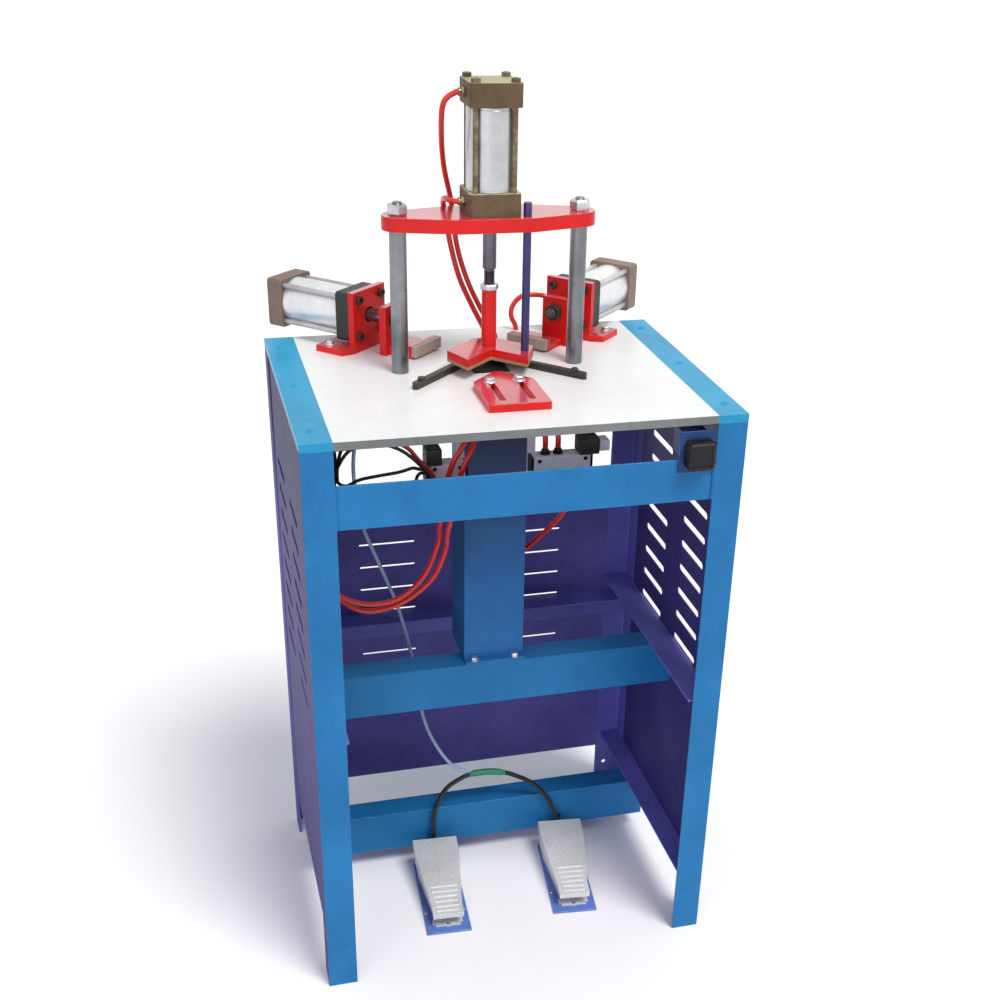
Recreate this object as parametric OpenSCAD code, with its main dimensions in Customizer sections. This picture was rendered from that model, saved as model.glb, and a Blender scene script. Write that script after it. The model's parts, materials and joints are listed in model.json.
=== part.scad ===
// Pneumatic picture frame underpinner.
// A cabinet of angle iron carries a table. On the table a press on two posts clamps the corner of
// a frame from above, two jaws push the mouldings against the fence, and a driver under the table
// pushes V-nails up into the mitre. X runs to the right, Y to the back and Z up from the floor.

/* [Cabinet] */
// Width over the legs
cab_w = 630; // [600:5:700]
// Depth over the legs
cab_d = 460; // [450:5:500]
// Height of the working face above the floor
table_h = 930; // [900:5:980]
// Flange of the angle-iron legs
leg_w = 45; // [40:1:50]
// Wall of the angle iron and of the folded rails
iron_t = 4; // [3:0.5:5]
// Thickness of the sheet panels
panel_t = 2; // [1.5:0.5:2.5]
// Lower edge of the side panels above the floor
side_panel_z = 100; // [90:5:110]
// Lower edge of the back panel above the floor
back_panel_z = 80; // [70:5:100]
// Height of the back panel
back_panel_h = 560; // [540:10:600]
// Length of one ventilation slot
slot_len = 96; // [80:2:100]
// Height of one ventilation slot
slot_h = 12; // [8:1:14]
// Height of one slot in the back panel
back_slot_h = 3.5; // [3:0.5:9]
// Distance between two rows of slots
slot_pitch = 43; // [38:1:48]
// Number of rows of slots
slot_rows = 8; // [4:1:8]

/* [Rails] */
// Height of the upper front rail
upper_rail_h = 65; // [50:5:70]
// Gap between the table and the upper front rail
upper_gap = 52; // [45:1:60]
// Width of the upper side rails that carry the table
upper_side_w = 65; // [60:1:70]
// Height of the middle and bottom front rails
low_rail_h = 75; // [60:5:80]
// Depth of the middle and bottom front rails
low_rail_d = 45; // [40:1:60]
// Top of the middle side rails above the floor
mid_rail_z = 457; // [440:1:480]
// Width of the middle side rails
mid_side_w = 50; // [45:1:55]
// Distance from the middle front rail to the axis of the press behind it
mid_ahead = 70; // [66:1:74]
// Height of the middle rear rail
rear_rail_h = 50; // [40:5:60]
// Top of the middle rear rail above the floor
rear_rail_z = 425; // [400:5:430]
// Top of the bottom side rails above the floor
bottom_rail_z = 114; // [112:1:130]
// Width of the bottom side rails
bottom_side_w = 40; // [36:1:45]
// Distance from the front to the bottom front rail
bottom_setback = 284; // [284:2:310]

/* [Table] */
// Thickness of the table
table_t = 12; // [10:1:15]
// Width of the steel strip along each side of the table
strip_w = 45; // [40:1:50]
// Distance from the axis of the press to the cabinet's back
press_back = 196; // [192:1:200]

/* [Press] */
// Bore of the air cylinders
bore = 63; // [50:1:63]
// Side of the square cylinder caps
cap_w = 75; // [74:1:80]
// Thickness of a cylinder cap
cap_t = 32; // [28:1:34]
// Outer diameter of the cylinder barrels
barrel_d = 70; // [68:1:72]
// Diameter of the piston rods
rod_d = 20; // [18:1:22]
// Thread at the end of the piston rods
thread_d = 16; // [12:1:17]
// Width across the flats of the rod nuts
nut_w = 24; // [22:1:27]
// Upward travel of the press from its lowest place
press_travel = 70; // [60:5:80]
// Length of the press barrel beyond the travel and the piston
press_spare = 25; // [10:1:30]
// Distance from the axis to each guide post
post_x = 134; // [130:1:145]
// Diameter of the guide posts
post_d = 25; // [22:1:28]
// Height of the bridge plate's lower face above the table
post_h = 210; // [205:1:230]
// Thickness of the bridge plate
bridge_t = 20; // [16:1:25]
// Gap between the clamp pad and the table
pad_gap = 16; // [16:1:20]
// Thickness of the clamp pad
pad_t = 5; // [4:1:6]
// Thickness of the clamp plate
clamp_t = 12; // [10:1:13]
// Height of the stem on the clamp plate
stem_h = 85; // [75:1:88]
// Diameter of the stem
stem_d = 22; // [22:0.5:24]
// Width of one arm of the clamp plate
clamp_arm_w = 50; // [44:1:52]
// Diameter of the rod that keeps the clamp from turning
guide_d = 12; // [10:1:13]

/* [Fence and stop] */
// Distance from the axis of the press to the inner corner of the fence behind it
fence_behind = 40; // [39:1:46]
// Width and height of a fence bar
fence_w = 10; // [8:0.5:11]
// Length of a fence bar along its inner face
fence_l = 178; // [160:2:190]
// Width of the stop plate
stop_w = 90; // [80:2:96]
// Thickness of the stop plate
stop_t = 11.7; // [10:0.1:12]
// Distance from the stop plate's front edge to the axis of the press
stop_ahead = 196; // [184:1:204]
// Travel of the stop plate towards the fence
stop_travel = 60; // [40:5:60]

/* [Jaws] */
// How far a jaw's axis lies ahead of the axis of the press, along the fence
jaw_ahead = 26.7; // [21:0.1:28.7]
// Height of a jaw cylinder's axis above the table
jaw_z = 53; // [50:1:56]
// Distance of the open jaw's face from the axis of the press
jaw_face_u = 105.3; // [101.3:0.1:109.3]
// Travel of a jaw towards the fence
jaw_travel = 50; // [40:5:50]
// Length of a jaw's barrel beyond the travel and the piston
jaw_spare = 35; // [20:1:40]
// Distance of the bracket's face from the axis of the press
bracket_u = 198.3; // [197.3:0.1:203.3]
// Thickness of the bracket
bracket_t = 10; // [8:1:12]
// Thickness of a jaw cylinder's caps
jaw_cap_t = 26; // [24:1:30]
// Width of a jaw's pad
pad_w = 70; // [60:2:72]

/* [Nail driver] */
// Width of the column under the table
column_w = 98; // [94:1:104]
// Depth of the column
column_d = 92; // [88:1:96]
// Distance from the table's face down to the shelf that the driver's cylinder hangs from
shelf_drop = 160; // [150:5:190]
// Length of the driver's barrel
driver_barrel_l = 98; // [80:2:110]
// Upward travel of the driver blade
driver_travel = 20; // [12:1:20]
// Side of the square nail block let into the table
block_w = 56; // [50:1:60]

/* [Pedals] */
// Width of a pedal's floor plate
pedal_w = 76; // [70:1:80]
// Length of a pedal's floor plate
pedal_l = 190; // [180:2:192]
// Height of a pedal at its back
pedal_h = 60; // [56:1:64]
// Height of a pedal at its toe
toe_h = 34; // [34:1:36]
// Downward travel of a pedal in degrees
pedal_swing = 6; // [4:0.5:7]

/* [Hoses] */
// Diameter of the red air hoses
hose_d = 8; // [6:1:8]
// Diameter of the thin hose that feeds the valves
feed_d = 6; // [4:1:6]
// Diameter of the pale cable to the pedals
cable_d = 6; // [5:1:7]
// Diameter of the two black pedal leads
lead_d = 8; // [6:1:8]

/* [Hidden] */
$fn = 48;

// Clearances: sliding fit on the radius, free gap, bolt holes over their bolts, free holes over
// a rod or hose, and the seam between two pieces that are bolted together in one group
fit = 0.05;
gap = 0.3;
hole_gap = 0.4;
rod_gap = 4;
seam = 0.05;
// Overshoot of a cut past the face that it opens
over = 1;
// How far a bolt reaches past what it clamps
bolt_past = 7;

// Colours of the finishes
enamel = "#307EBA";
red_paint = "#E23028";
bare_steel = "#B8BCC0";
olive_cast = "#6B5948";
blackened = "#2A2A2E";
zinc = "#D0D2D4";
hammered = "#C0C4C0";

// Cabinet: outer and inner faces of the irons, and the top of the welded frame
x_out = cab_w / 2;
x_in = x_out - iron_t;
x_clear = x_out - 2 * iron_t;
x_table = x_out - strip_w;
root_r = iron_t;
toe_r = iron_t / 3;
frame_z = table_h - table_t;
upper_rail_z = frame_z - upper_gap;
mid_top = mid_rail_z - iron_t;
bottom_top = bottom_rail_z - iron_t;
slot_over_rail = 6.5;
slot_first = mid_rail_z + slot_over_rail;
side_slot_mid = cab_d / 2 + 7;
side_slot_dy = 82;
back_slot_x = 131;
back_slot_edge = 40;
back_slot_last = back_panel_z + back_panel_h - back_slot_edge;
press_y = cab_d - press_back;
mid_setback = press_y - mid_ahead;

// Wall bolt hole in a rear leg: distance from the leg's corner, height and size
leg_hole_in = 27;
leg_hole_z = 38;
leg_hole_d = 9;

// Strip screws: distance from the outer edge, from the ends, and their size
strip_screw_x = 20;
strip_screw_y = 46;
strip_screw_d = 6;
strip_head_d = 11;
strip_head_h = 1.5;

// Press: levels from the table up
bridge_z = table_h + post_h;
bridge_top = bridge_z + bridge_t;
press_barrel_z = bridge_top + cap_t;
piston_t = 20;
piston_gap = 2;
press_barrel_l = press_travel + piston_t + press_spare;
press_cap_z = press_barrel_z + press_barrel_l;
press_top = press_cap_z + cap_t;
pad_z = table_h + pad_gap;
clamp_z = pad_z + pad_t;
stem_z = clamp_z + clamp_t;
stem_top = stem_z + stem_h;
rod_nut_h = 9;
thread_shown = 22;
thread_in = 18;
rod_foot_z = stem_top + rod_nut_h + thread_shown;
stud_d = 16;
stud_up = 15;
stud_down = 18;
post_nut_w = 26;
post_nut_h = 12;
washer_t = 3;
post_washer_d = 32;
bridge_mid_x = 55;
bridge_mid_y = 46;
bridge_end_x = 157;
bridge_end_y = 25;
cap_r = 6;
tie_x = cap_w / 2 - 9.5;
tie_d = 8;
tie_head_d = 13;
tie_head_h = 6;
guide_x = 48;
guide_ahead = 30;
guide_y = press_y - guide_ahead;
guide_up = 19;
// Clamp plate, from the axis of the press: its notch, back edge, tips and heels
notch_ahead = 17;
notch_y = press_y - notch_ahead;
clamp_behind = 38;
clamp_back_y = press_y + clamp_behind;
clamp_sum = notch_y + clamp_arm_w * sqrt(2);
clamp_tip_x = 45;
clamp_tip_ahead = 61;
clamp_heel_x = 66;
clamp_tip = [clamp_tip_x, press_y - clamp_tip_ahead];
clamp_heel = [clamp_heel_x, clamp_sum - clamp_heel_x];

// Fence and stop
fence_y = press_y + fence_behind;
fence_bolt_at = 158;
fence_bolt_d = 6;
fence_head_d = 10;
fence_head_h = 4;
stop_z = table_h + gap;
stop_front = press_y - stop_ahead;
stop_shoulder_ahead = 96;
stop_shoulder = press_y - stop_shoulder_ahead;
stop_tip_w = 12;
stop_slot_x = 21.5;
stop_slot_w = 9;
stop_slot_edge = 20;
stop_slot_spare = 16;
stop_slot_front = stop_front + stop_slot_edge;
stop_bolt_y = stop_slot_front + stop_travel + stop_slot_spare;
stop_bolt_d = 8;
stop_head_d = 13;
stop_head_h = 5;
stop_washer_d = 20;
stop_washer_t = 1.5;

// Jaws, from the axis of the press along u (outwards, square to the fence bar) and v (along the
// bar towards the corner)
jaw_v = -jaw_ahead;
jaw_axis_z = table_h + jaw_z;
jaw_pad_t = 8;
jaw_pad_h = 17;
jaw_pad_up = 3;
jaw_pad_z = table_h + jaw_pad_up;
jaw_pad_back = 12;
jaw_pad_v = jaw_v - jaw_pad_back;
jaw_sole_t = 10;
jaw_sole_l = 52;
jaw_post_t = 12;
jaw_post_w = 44;
jaw_cap_u = bracket_u + bracket_t;
jaw_barrel_u = jaw_cap_u + jaw_cap_t;
jaw_barrel_l = jaw_travel + piston_t + jaw_spare;
jaw_rear_u = jaw_barrel_u + jaw_barrel_l;
jaw_end_u = jaw_rear_u + jaw_cap_t;
jaw_sole_u = jaw_face_u + jaw_pad_t;
jaw_post_u = jaw_sole_u + jaw_sole_l - jaw_post_t;
jaw_nut_t = 10;
jaw_thread_shown = 4;
flange_t = 10;
flange_l = 48;
flange_side = 20;
flange_bolt_in = 32;
flange_bolt_u = jaw_cap_u + flange_bolt_in;
flange_bolt_out = 5;
flange_bolt_v = 26;
flange_bolt_d = 8;
flange_head_d = 12;
flange_head_h = 5;
bracket_over = 3;
half_bracket = cap_w / 2 + bracket_over;

// Nail driver
foot_t = 5;
column_set = 14;
column_y = mid_setback + column_set;
column_bolt_x = 33;
column_bolt_y = mid_setback + column_set / 2;
column_bolt_d = 6;
column_head_d = 12;
column_head_h = 5;
shelf_t = 10;
shelf_z = table_h - shelf_drop;
driver_cap_z = shelf_z - cap_t;
driver_barrel_z = driver_cap_z - driver_barrel_l;
driver_low_z = driver_barrel_z - cap_t;
blade_below = 0.5;
blade_rest = driver_travel + blade_below;
blade_t = 2;
blade_w = 16;
blade_l = 42;
holder_d = 26;
holder_h = 30;
block_h = 36;
magazine_w = 20;
magazine_h = 16;
magazine_l = 120;
magazine_wall = 3;
magazine_drop = 4;
magazine_top = frame_z - magazine_drop;

// Valves: the left end and length of each, and what is on them
valves = [[-134, 60], [18, 92]];
valve_y = 70;
valve_d = 25;
valve_h = 30;
valve_drop = 90;
valve_bottom = frame_z - valve_drop;
valve_top = valve_bottom + valve_h;
bracket_sheet = 3;
strap_w = 12;
coils = [[-134, 22], [88, 46]];
coil_h = 24;
coil_lead = 4;
riser_x = [41, 60];
port_x = [-94, -80, 36, 92];
riser_y = valve_y + valve_d / 2;
fitting_d = 12;
fitting_h = 8;
terminal_h = 22;
terminal_in = 75;
terminal_at = [terminal_in - x_out, 130, frame_z - terminal_h];
terminal_w = 40;
manifold_h = 24;
manifold_in = 9;
manifold_at = [manifold_in - x_out, 90, frame_z - iron_t - manifold_h];
manifold_w = 50;
manifold_l = 90;

// Regulator on the upper rail
knob_in = 74;
knob_x = x_out - knob_in;
knob_up = 12;
knob_z = upper_rail_z + knob_up;
knob_w = 41;
knob_r = 9;
knob_h = 25;
regulator_w = 54;
regulator_h = 62;
regulator_t = 3;
spindle_d = 8;
spindle_l = 14;
regulator_body = 38;
regulator_body_d = 44;

// Pedals: the spots and turns of the two, and the parts of one
pedal_spots = [[-102, 78, 0], [120, 79, 0]];
pedal_turns = [-3.5, -6.5];
plate_t = 4;
skirt_t = 3;
treadle_top_t = 4;
treadle_w = 78;
toe_w = 52;
toe_y = 10;
toe_l = 22;
treadle_back_l = 40;
treadle_back_h = 22;
base_y = 21;
base_back = pedal_l - 4;
base_gap = 1.5;
base_lip = 2;
hinge_y = base_back - 14;
hinge_z = pedal_h - 12;
pin_d = 6;
hub_r = 10;
rib_count = 6;
rib_pitch = 11;
rib_in = 7;
rib_first = 5;
rib_h = 1.5;
rib_flank = [0, 1, 4, 5];
lug_r = 9;
lug_t = 3;
toe_gap = 1;
gland_d = 12;
gland_h = 8;
gland_l = 14;
gland_y = base_back + gland_l / 2;
gland_z = plate_t + 30;
// The toe's lower edge comes down to the gap over the floor plate at the end of the pedal's swing
toe_under = hinge_z
  - (hinge_z - plate_t - lug_t - toe_gap - (hinge_y - toe_y) * sin(pedal_swing)) / cos(pedal_swing);

// The part's origin lies on the floor under the middle of its box
knob_front = iron_t - regulator_t - knob_h;
rear_corner_y = press_y + (jaw_end_u + jaw_v + cap_w / 2) / sqrt(2);
y_centre = (knob_front + rear_corner_y) / 2;

// Routes of the hoses and cables, chosen by hand from the piece that each part of them follows,
// before the shift to the origin
function placed(at, route) = [for (p = route) at + p];
press_route = concat(
  placed([-cap_w / 2, press_y, press_cap_z], [[-gap, 0, 16], [-11, 0, 16], [-28.5, 4, 1], [-28.5, 20, -41]]),
  placed([0, press_y, table_h], [
    [-56, 52, 284], [-42, 68, 230], [-34, 70, 170], [-20, 68, 120], [0, 71, 76], [21, 79, 40], [30, 83, 18],
    [30, 83, -12], [32, 79, -27], [42, 62, -33], [55, 36, -33], [55, 0, -31]
  ]),
  placed([riser_x[0], riser_y, valve_top], [
    [12, 90, 43], [4, 40, 44], [0, 12, 38], [0, 1, 24], [0, 0, fitting_h + gap]
  ])
);
press_low_route = concat(
  placed([-cap_w / 2, press_y, bridge_top], [
    [-gap, 0, 16], [-10, 0, 16], [-19, 8, 16], [-22, 28, 15], [-20, 52, 6], [-17, 56, -10]
  ]),
  placed([0, press_y, table_h], [
    [-45, 60, 170], [-31, 64, 120], [-11, 69, 76], [8, 77, 40], [18, 81, 18], [18, 81, -12], [17, 81, -32],
    [8, 81, -44], [-12, 78, -45], [-40, 62, -41], [-60, 34, -35], [-62, -4, -32], [-60, -60, -31]
  ]),
  placed([0, valve_y, frame_z], [
    [-56, 42, -19], [-60, 14, -22], [-70, -6, -36], [-84, -14, -60], [-94, -12, -92], [-97, 2, -138],
    [-96, 42, -188], [-91, 82, -234], [-110, 96, -288], [-160, 102, -328], [-222, 100, -330]
  ]),
  placed(manifold_at, [[36, 82, -250], [20, 74, -150], [26, 66, -50], [28, 64, -10], [28, 64, -gap]])
);
// The port in a jaw cylinder's front cap, as seen from the axis of the press
jaw_port_u = jaw_cap_u + jaw_cap_t / 2;
jaw_port_v = jaw_v + cap_w / 2 + gap;
jaw_port = [(jaw_port_u - jaw_port_v) / sqrt(2), press_y + (jaw_port_u + jaw_port_v) / sqrt(2), jaw_axis_z];
jaw_right_route = concat(
  placed(jaw_port, [
    [0, 0, 0], [-6.5, 6.5, 0], [-27, 18, 1], [-51, 19, -1], [-66, 17, -15], [-69, 13, -31], [-62, 12, -47],
    [-61, 12, -65]
  ]),
  placed([0, press_y, table_h], [[88, 174, -28], [84, 154, -34], [74, 116, -31], [67, 36, -28]]),
  placed([riser_x[1], riser_y, valve_top], [
    [5, 110, 43], [2, 40, 44], [0, 12, 38], [0, 1, 24], [0, 0, fitting_h + gap]
  ])
);
jaw_left_route = concat(
  placed([-jaw_port.x, jaw_port.y, jaw_port.z], [
    [0, 0, 0], [6.5, 6.5, 0], [17, 14, -7], [21, 16, -25], [21, 16, -47], [21, 16, -65]
  ]),
  placed([0, press_y, table_h], [[-127, 176, -28], [-118, 150, -34], [-96, 66, -29], [-74, -64, -25]]),
  placed([0, valve_y, frame_z], [
    [-66, 44, -10], [-70, 12, -13], [-82, -8, -28], [-98, -12, -52], [-108, -10, -88], [-111, 0, -128],
    [-108, 40, -173], [-102, 80, -218], [-124, 88, -278], [-168, 90, -314], [-226, 90, -312]
  ]),
  placed(manifold_at, [[34, 62, -240], [20, 50, -150], [26, 32, -50], [28, 30, -10], [28, 30, -gap]])
);
feed_route = concat(
  placed(manifold_at, [
    [44, -gap, 12], [46, -10, 12], [66, -24, 15], [106, -28, 15], [141, -28, 3], [160, -28, -19],
    [179, -28, -42]
  ]),
  placed([port_x[0], riser_y, valve_bottom - fitting_h], [
    [-25, -20, 4], [-16, -15, -14], [-5, -4, -20], [0, 0, -10], [0, 0, -gap]
  ])
);
link_route = concat(
  placed([port_x[1], riser_y, valve_bottom - fitting_h], [[0, 0, -gap], [0, 0, -9], [9, 2, -22], [50, 5, -28]]),
  placed([port_x[2], riser_y, valve_bottom - fitting_h], [
    [-40, 5, -28], [-8, 2, -20], [0, 0, -9], [0, 0, -gap]
  ])
);
driver_route = concat(
  placed([port_x[3], riser_y, valve_bottom - fitting_h], [[0, 0, -gap], [0, 1, -8], [6, 38, -50]]),
  placed([cap_w / 2, press_y, driver_low_z], [
    [60, -84, 104], [48, -38, 56], [30, -16, 24], [18, -14, 16], [gap, -14, 16]
  ])
);
hose_holes = [press_route[11], press_low_route[11], jaw_right_route[7], jaw_left_route[5]];
lead_d_gap = 0.8;
joint_route = [[-24, 276, 179], [8, 276, 180], [40, 276, 173]];
joint_d = 12;
function gland_end(i) = let (a = pedal_turns[i])
  pedal_spots[i] + [-gland_y * sin(a), gland_y * cos(a), gland_z + gland_h];
lead_left = concat(
  placed(gland_end(0), [[0, 0, gap], [0, 0, 10], [3, 3, 68], [23, 4, 113], [56, 5, 134]]),
  [joint_route[0] - [lead_d_gap, 0, gap]]
);
lead_right = concat(
  placed(gland_end(1), [[0, 0, gap], [0, 0, 10], [-22, 3, 64], [-52, 4, 102], [-92, 5, 127]]),
  [joint_route[2] + [lead_d_gap, 0, -gap]]
);
cable_route = concat(
  placed(joint_route[0], [
    [-1.5, 0, 6.8], [-10, 1, 9], [-36, 4, 29], [-64, 8, 79], [-82, 12, 139], [-96, 16, 245],
    [-118, 18, 341], [-142, 14, 411]
  ]),
  placed(terminal_at + [terminal_w / 2, terminal_w / 2, 0], [
    [20, 118, -206], [2, 50, -96], [0, 2, -20], [0, 0, -9], [0, 0, -gap]
  ])
);
wire_d = 5;
coil_wire = concat(
  placed([coils[0].x, valve_y, valve_bottom], [
    [-gap, 6, 23], [-7, 6, 23], [-16, 11, 24], [-36, 14, 18], [-63, 14, 15], [-91, 14, 11], [-110, 17, 2]
  ]),
  placed(terminal_at, [[-14, -34, -64], [-12, -26, -38], [-2, -22, -10], [10, -14, 6], [14, -8, 11], [14, -gap, 11]])
);
valve_wire = concat(
  placed([coils[0].x, valve_y, valve_bottom], [
    [-gap, 18, 12], [-6, 18, 12], [-12, 14, 4], [-11, 8, -8], [-2, -8, -14], [5, -17, 2], [-1, -18, 25], [-26, -18, 54],
    [-51, -18, 70], [-80, -17, 75], [-109, -17, 67], [-128, -16, 38], [-135, -8, 8]
  ]),
  placed(terminal_at, [[-26, -46, -78], [-18, -22, -74], [-12, 4, -46], [-14, 16, -16], [-14, 20, 2], [-8, 20, 11], [-gap, 20, 11]])
);

function arc(cx, cy, r, from, to, n) =
  [for (i = [0 : n]) let (a = from + (to - from) * i / n) [cx + r * cos(a), cy + r * sin(a)]];

// Points of an angle iron: flanges along +x and +y, with rounded toes and root
function angle_points(a, b, root) = concat(
  [[0, 0], [a, 0]],
  arc(a - toe_r, iron_t - toe_r, toe_r, 0, 90, 3),
  root > 0 ? arc(iron_t + root, iron_t + root, root, 270, 180, 4) : [[iron_t, iron_t]],
  arc(iron_t - toe_r, b - toe_r, toe_r, 0, 90, 3),
  [[0, b]]
);

// Points of a channel that opens along +x: web at x = 0, flanges of depth d, height h
function channel_points(d, h) = [
  [0, 0], [d, 0], [d, iron_t], [iron_t, iron_t], [iron_t, h - iron_t], [d, h - iron_t], [d, h], [0, h]
];

// Corners of a rectangle, rounded with radius r, centred on the origin
function round_rect(w, h, r) = concat(
  arc(w / 2 - r, h / 2 - r, r, 0, 90, 5), arc(r - w / 2, h / 2 - r, r, 90, 180, 5),
  arc(r - w / 2, r - h / 2, r, 180, 270, 5), arc(w / 2 - r, r - h / 2, r, 270, 360, 5)
);

// Sweep of a round section along a smooth curve through the route's points
function unit(v) = v / norm(v);
function spline_point(p, i, t) =
  let (a = p[max(i - 1, 0)], b = p[i], c = p[i + 1], d = p[min(i + 2, len(p) - 1)])
  0.5 * (2 * b + (c - a) * t + (2 * a - 5 * b + 4 * c - d) * t * t + (3 * b - a - 3 * c + d) * t * t * t);
function smooth_route(p, steps) = concat(
  [for (i = [0 : len(p) - 2], k = [0 : (norm(p[i + 1] - p[i]) < 14 ? 0 : steps - 1)])
    spline_point(p, i, k / (norm(p[i + 1] - p[i]) < 14 ? 1 : steps))],
  [p[len(p) - 1]]
);
function headings(q) =
  [for (i = [0 : len(q) - 1]) unit(q[min(i + 1, len(q) - 1)] - q[max(i - 1, 0)])];
function side_ways(t, n, i = 0) =
  i == len(t) ? [] : let (m = unit(n - (n * t[i]) * t[i])) concat([m], side_ways(t, m, i + 1));

module tube(route, d, steps = 2, sides = 8) {
  q = smooth_route(route, steps);
  t = headings(q);
  n = side_ways(t, abs(t[0].z) > 0.9 ? [1, 0.1, 0] : [0, 0.1, 1]);
  rings = len(q);
  points = [for (i = [0 : rings - 1], j = [0 : sides - 1])
    q[i] + d / 2 * (cos(360 * j / sides) * n[i] + sin(360 * j / sides) * cross(t[i], n[i]))];
  walls = [for (i = [0 : rings - 2], j = [0 : sides - 1], half = [0, 1])
    let (a = i * sides + j, b = i * sides + (j + 1) % sides)
    half == 0 ? [a, a + sides, b] : [b, a + sides, b + sides]];
  start = [for (j = [1 : sides - 2]) [0, j, j + 1]];
  last = (rings - 1) * sides;
  finish = [for (j = [1 : sides - 2]) [last, last + j + 1, last + j]];
  polyhedron(points, concat(walls, start, finish), convexity = 6);
}

// Frames of reference: the whole bench, one of its two sides, a rail along X or along Y, and a jaw
module bench() translate([0, -y_centre, 0]) children();
module on_side(side) mirror([side > 0 ? 1 : 0, 0, 0]) children();
module along_x(length) rotate([90, 0, 90]) translate([0, 0, -length / 2]) linear_extrude(length) children();

module jaw_frame(side) on_side(side) translate([0, press_y, 0]) rotate([0, 0, 135]) mirror([0, 1, 0])
  children();

module hex_nut(w, h, bore_d) difference() {
  cylinder(d = w / cos(30), h = h, $fn = 6);
  translate([0, 0, -over]) cylinder(d = bore_d, h = h + 2 * over);
}

module bolt(d, length, head_d, head_h) {
  cylinder(d = head_d / cos(30), h = head_h, $fn = 6);
  translate([0, 0, -length]) cylinder(d = d, h = length + head_h / 2);
}

// A square cylinder cap on its axis, with holes for the four tie bolts and one for the rod
module cap(thickness, rod_hole) difference() {
  linear_extrude(thickness) polygon(round_rect(cap_w, cap_w, cap_r));
  for (x = [-tie_x, tie_x], y = [-tie_x, tie_x])
    translate([x, y, -over]) cylinder(d = tie_d + hole_gap, h = thickness + 2 * over, $fn = 24);
  if (rod_hole > 0) translate([0, 0, -over]) cylinder(d = rod_hole, h = thickness + 2 * over);
}

module barrel(length) translate([0, 0, seam]) difference() {
  cylinder(d = barrel_d, h = length - 2 * seam, $fn = 64);
  translate([0, 0, -over]) cylinder(d = bore, h = length + 2 * over, $fn = 64);
}

// The four tie bolts of a cylinder, whose heads lie on the cap at z = length
module tie_bolts(length, into) for (x = [-tie_x, tie_x], y = [-tie_x, tie_x]) translate([x, y, length]) {
  translate([0, 0, seam]) difference() {
    cylinder(d = tie_head_d, h = tie_head_h, $fn = 24);
    translate([0, 0, tie_head_h / 2]) cylinder(d = tie_d, h = tie_head_h, $fn = 6);
  }
  translate([0, 0, -length - into]) cylinder(d = tie_d, h = length + into + seam, $fn = 24);
}

// ---- Cabinet ----

// A leg: an angle iron with its corner outwards; the rear ones have a hole for a wall bolt
module leg(side, rear) color(enamel) bench() on_side(side) difference() {
  translate([-x_out, rear * cab_d, 0]) mirror([0, rear, 0])
    linear_extrude(frame_z) polygon(angle_points(leg_w, leg_w, root_r));
  if (rear == 1) translate([leg_hole_in - x_out, cab_d - iron_t - over, leg_hole_z]) rotate([-90, 0, 0])
    cylinder(d = leg_hole_d, h = iron_t + 2 * over, $fn = 24);
}

module side_rail(side, top, width) on_side(side)
  translate([-x_in, cab_d - iron_t - root_r, top]) rotate([90, 0, 0])
    linear_extrude(cab_d - 2 * (iron_t + root_r)) mirror([0, 1])
      polygon(angle_points(width - iron_t, width, 0));

module upper_side_rail(side) color(enamel) bench() difference() {
  side_rail(side, frame_z, upper_side_w);
  strip_screw_spots(side) translate([0, 0, frame_z - 2 * iron_t])
    cylinder(d = strip_screw_d + hole_gap, h = 3 * iron_t, $fn = 24);
}

module strip_screw_spots(side) for (y = [strip_screw_y, cab_d / 2, cab_d - strip_screw_y])
  translate([side * (x_out - strip_screw_x), y, 0]) children();

module leg_front_left() leg(-1, 0);
module leg_front_right() leg(1, 0);
module leg_rear_left() leg(-1, 1);
module leg_rear_right() leg(1, 1);
module upper_side_rail_left() upper_side_rail(-1);
module upper_side_rail_right() upper_side_rail(1);
module mid_side_rail_left() color(enamel) bench() side_rail(-1, mid_rail_z, mid_side_w);
module mid_side_rail_right() color(enamel) bench() side_rail(1, mid_rail_z, mid_side_w);
module bottom_side_rail_left() color(enamel) bench() side_rail(-1, bottom_rail_z, bottom_side_w);
module bottom_side_rail_right() color(enamel) bench() side_rail(1, bottom_rail_z, bottom_side_w);

module upper_front_rail() color(enamel) bench() translate([0, iron_t, upper_rail_z - upper_rail_h])
  along_x(2 * x_clear) polygon(angle_points(leg_w, upper_rail_h, 0));

module upper_rear_rail() color(enamel) bench() difference() {
  translate([0, cab_d - iron_t, frame_z]) mirror([0, 1, 0]) mirror([0, 0, 1])
    along_x(2 * (x_out - upper_side_w)) polygon(angle_points(leg_w, upper_side_w, 0));
  translate([0, 0, -iron_t]) {
    for (side = [-1, 1]) jaw_frame(side) flange_bolt_spots() through_table(0, 0, flange_bolt_d);
    for (p = hose_holes) through_table(p.x, p.y, hose_d + gap);
  }
}

module mid_front_rail() color(enamel) bench() difference() {
  translate([0, mid_setback, mid_top - low_rail_h])
    along_x(2 * x_clear) polygon(channel_points(low_rail_d, low_rail_h));
  for (x = [-column_bolt_x, column_bolt_x]) translate([x, column_bolt_y, mid_top - 2 * iron_t])
    cylinder(d = column_bolt_d + hole_gap, h = 3 * iron_t, $fn = 24);
}

module bottom_front_rail() color(enamel) bench() translate([0, bottom_setback, bottom_top - low_rail_h])
  along_x(2 * x_clear) polygon(channel_points(low_rail_d, low_rail_h));

module mid_rear_rail() color(enamel) bench() translate([0, cab_d - iron_t, rear_rail_z])
  mirror([0, 1, 0]) mirror([0, 0, 1])
    along_x(2 * x_clear) polygon(angle_points(leg_w, rear_rail_h, 0));

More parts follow.
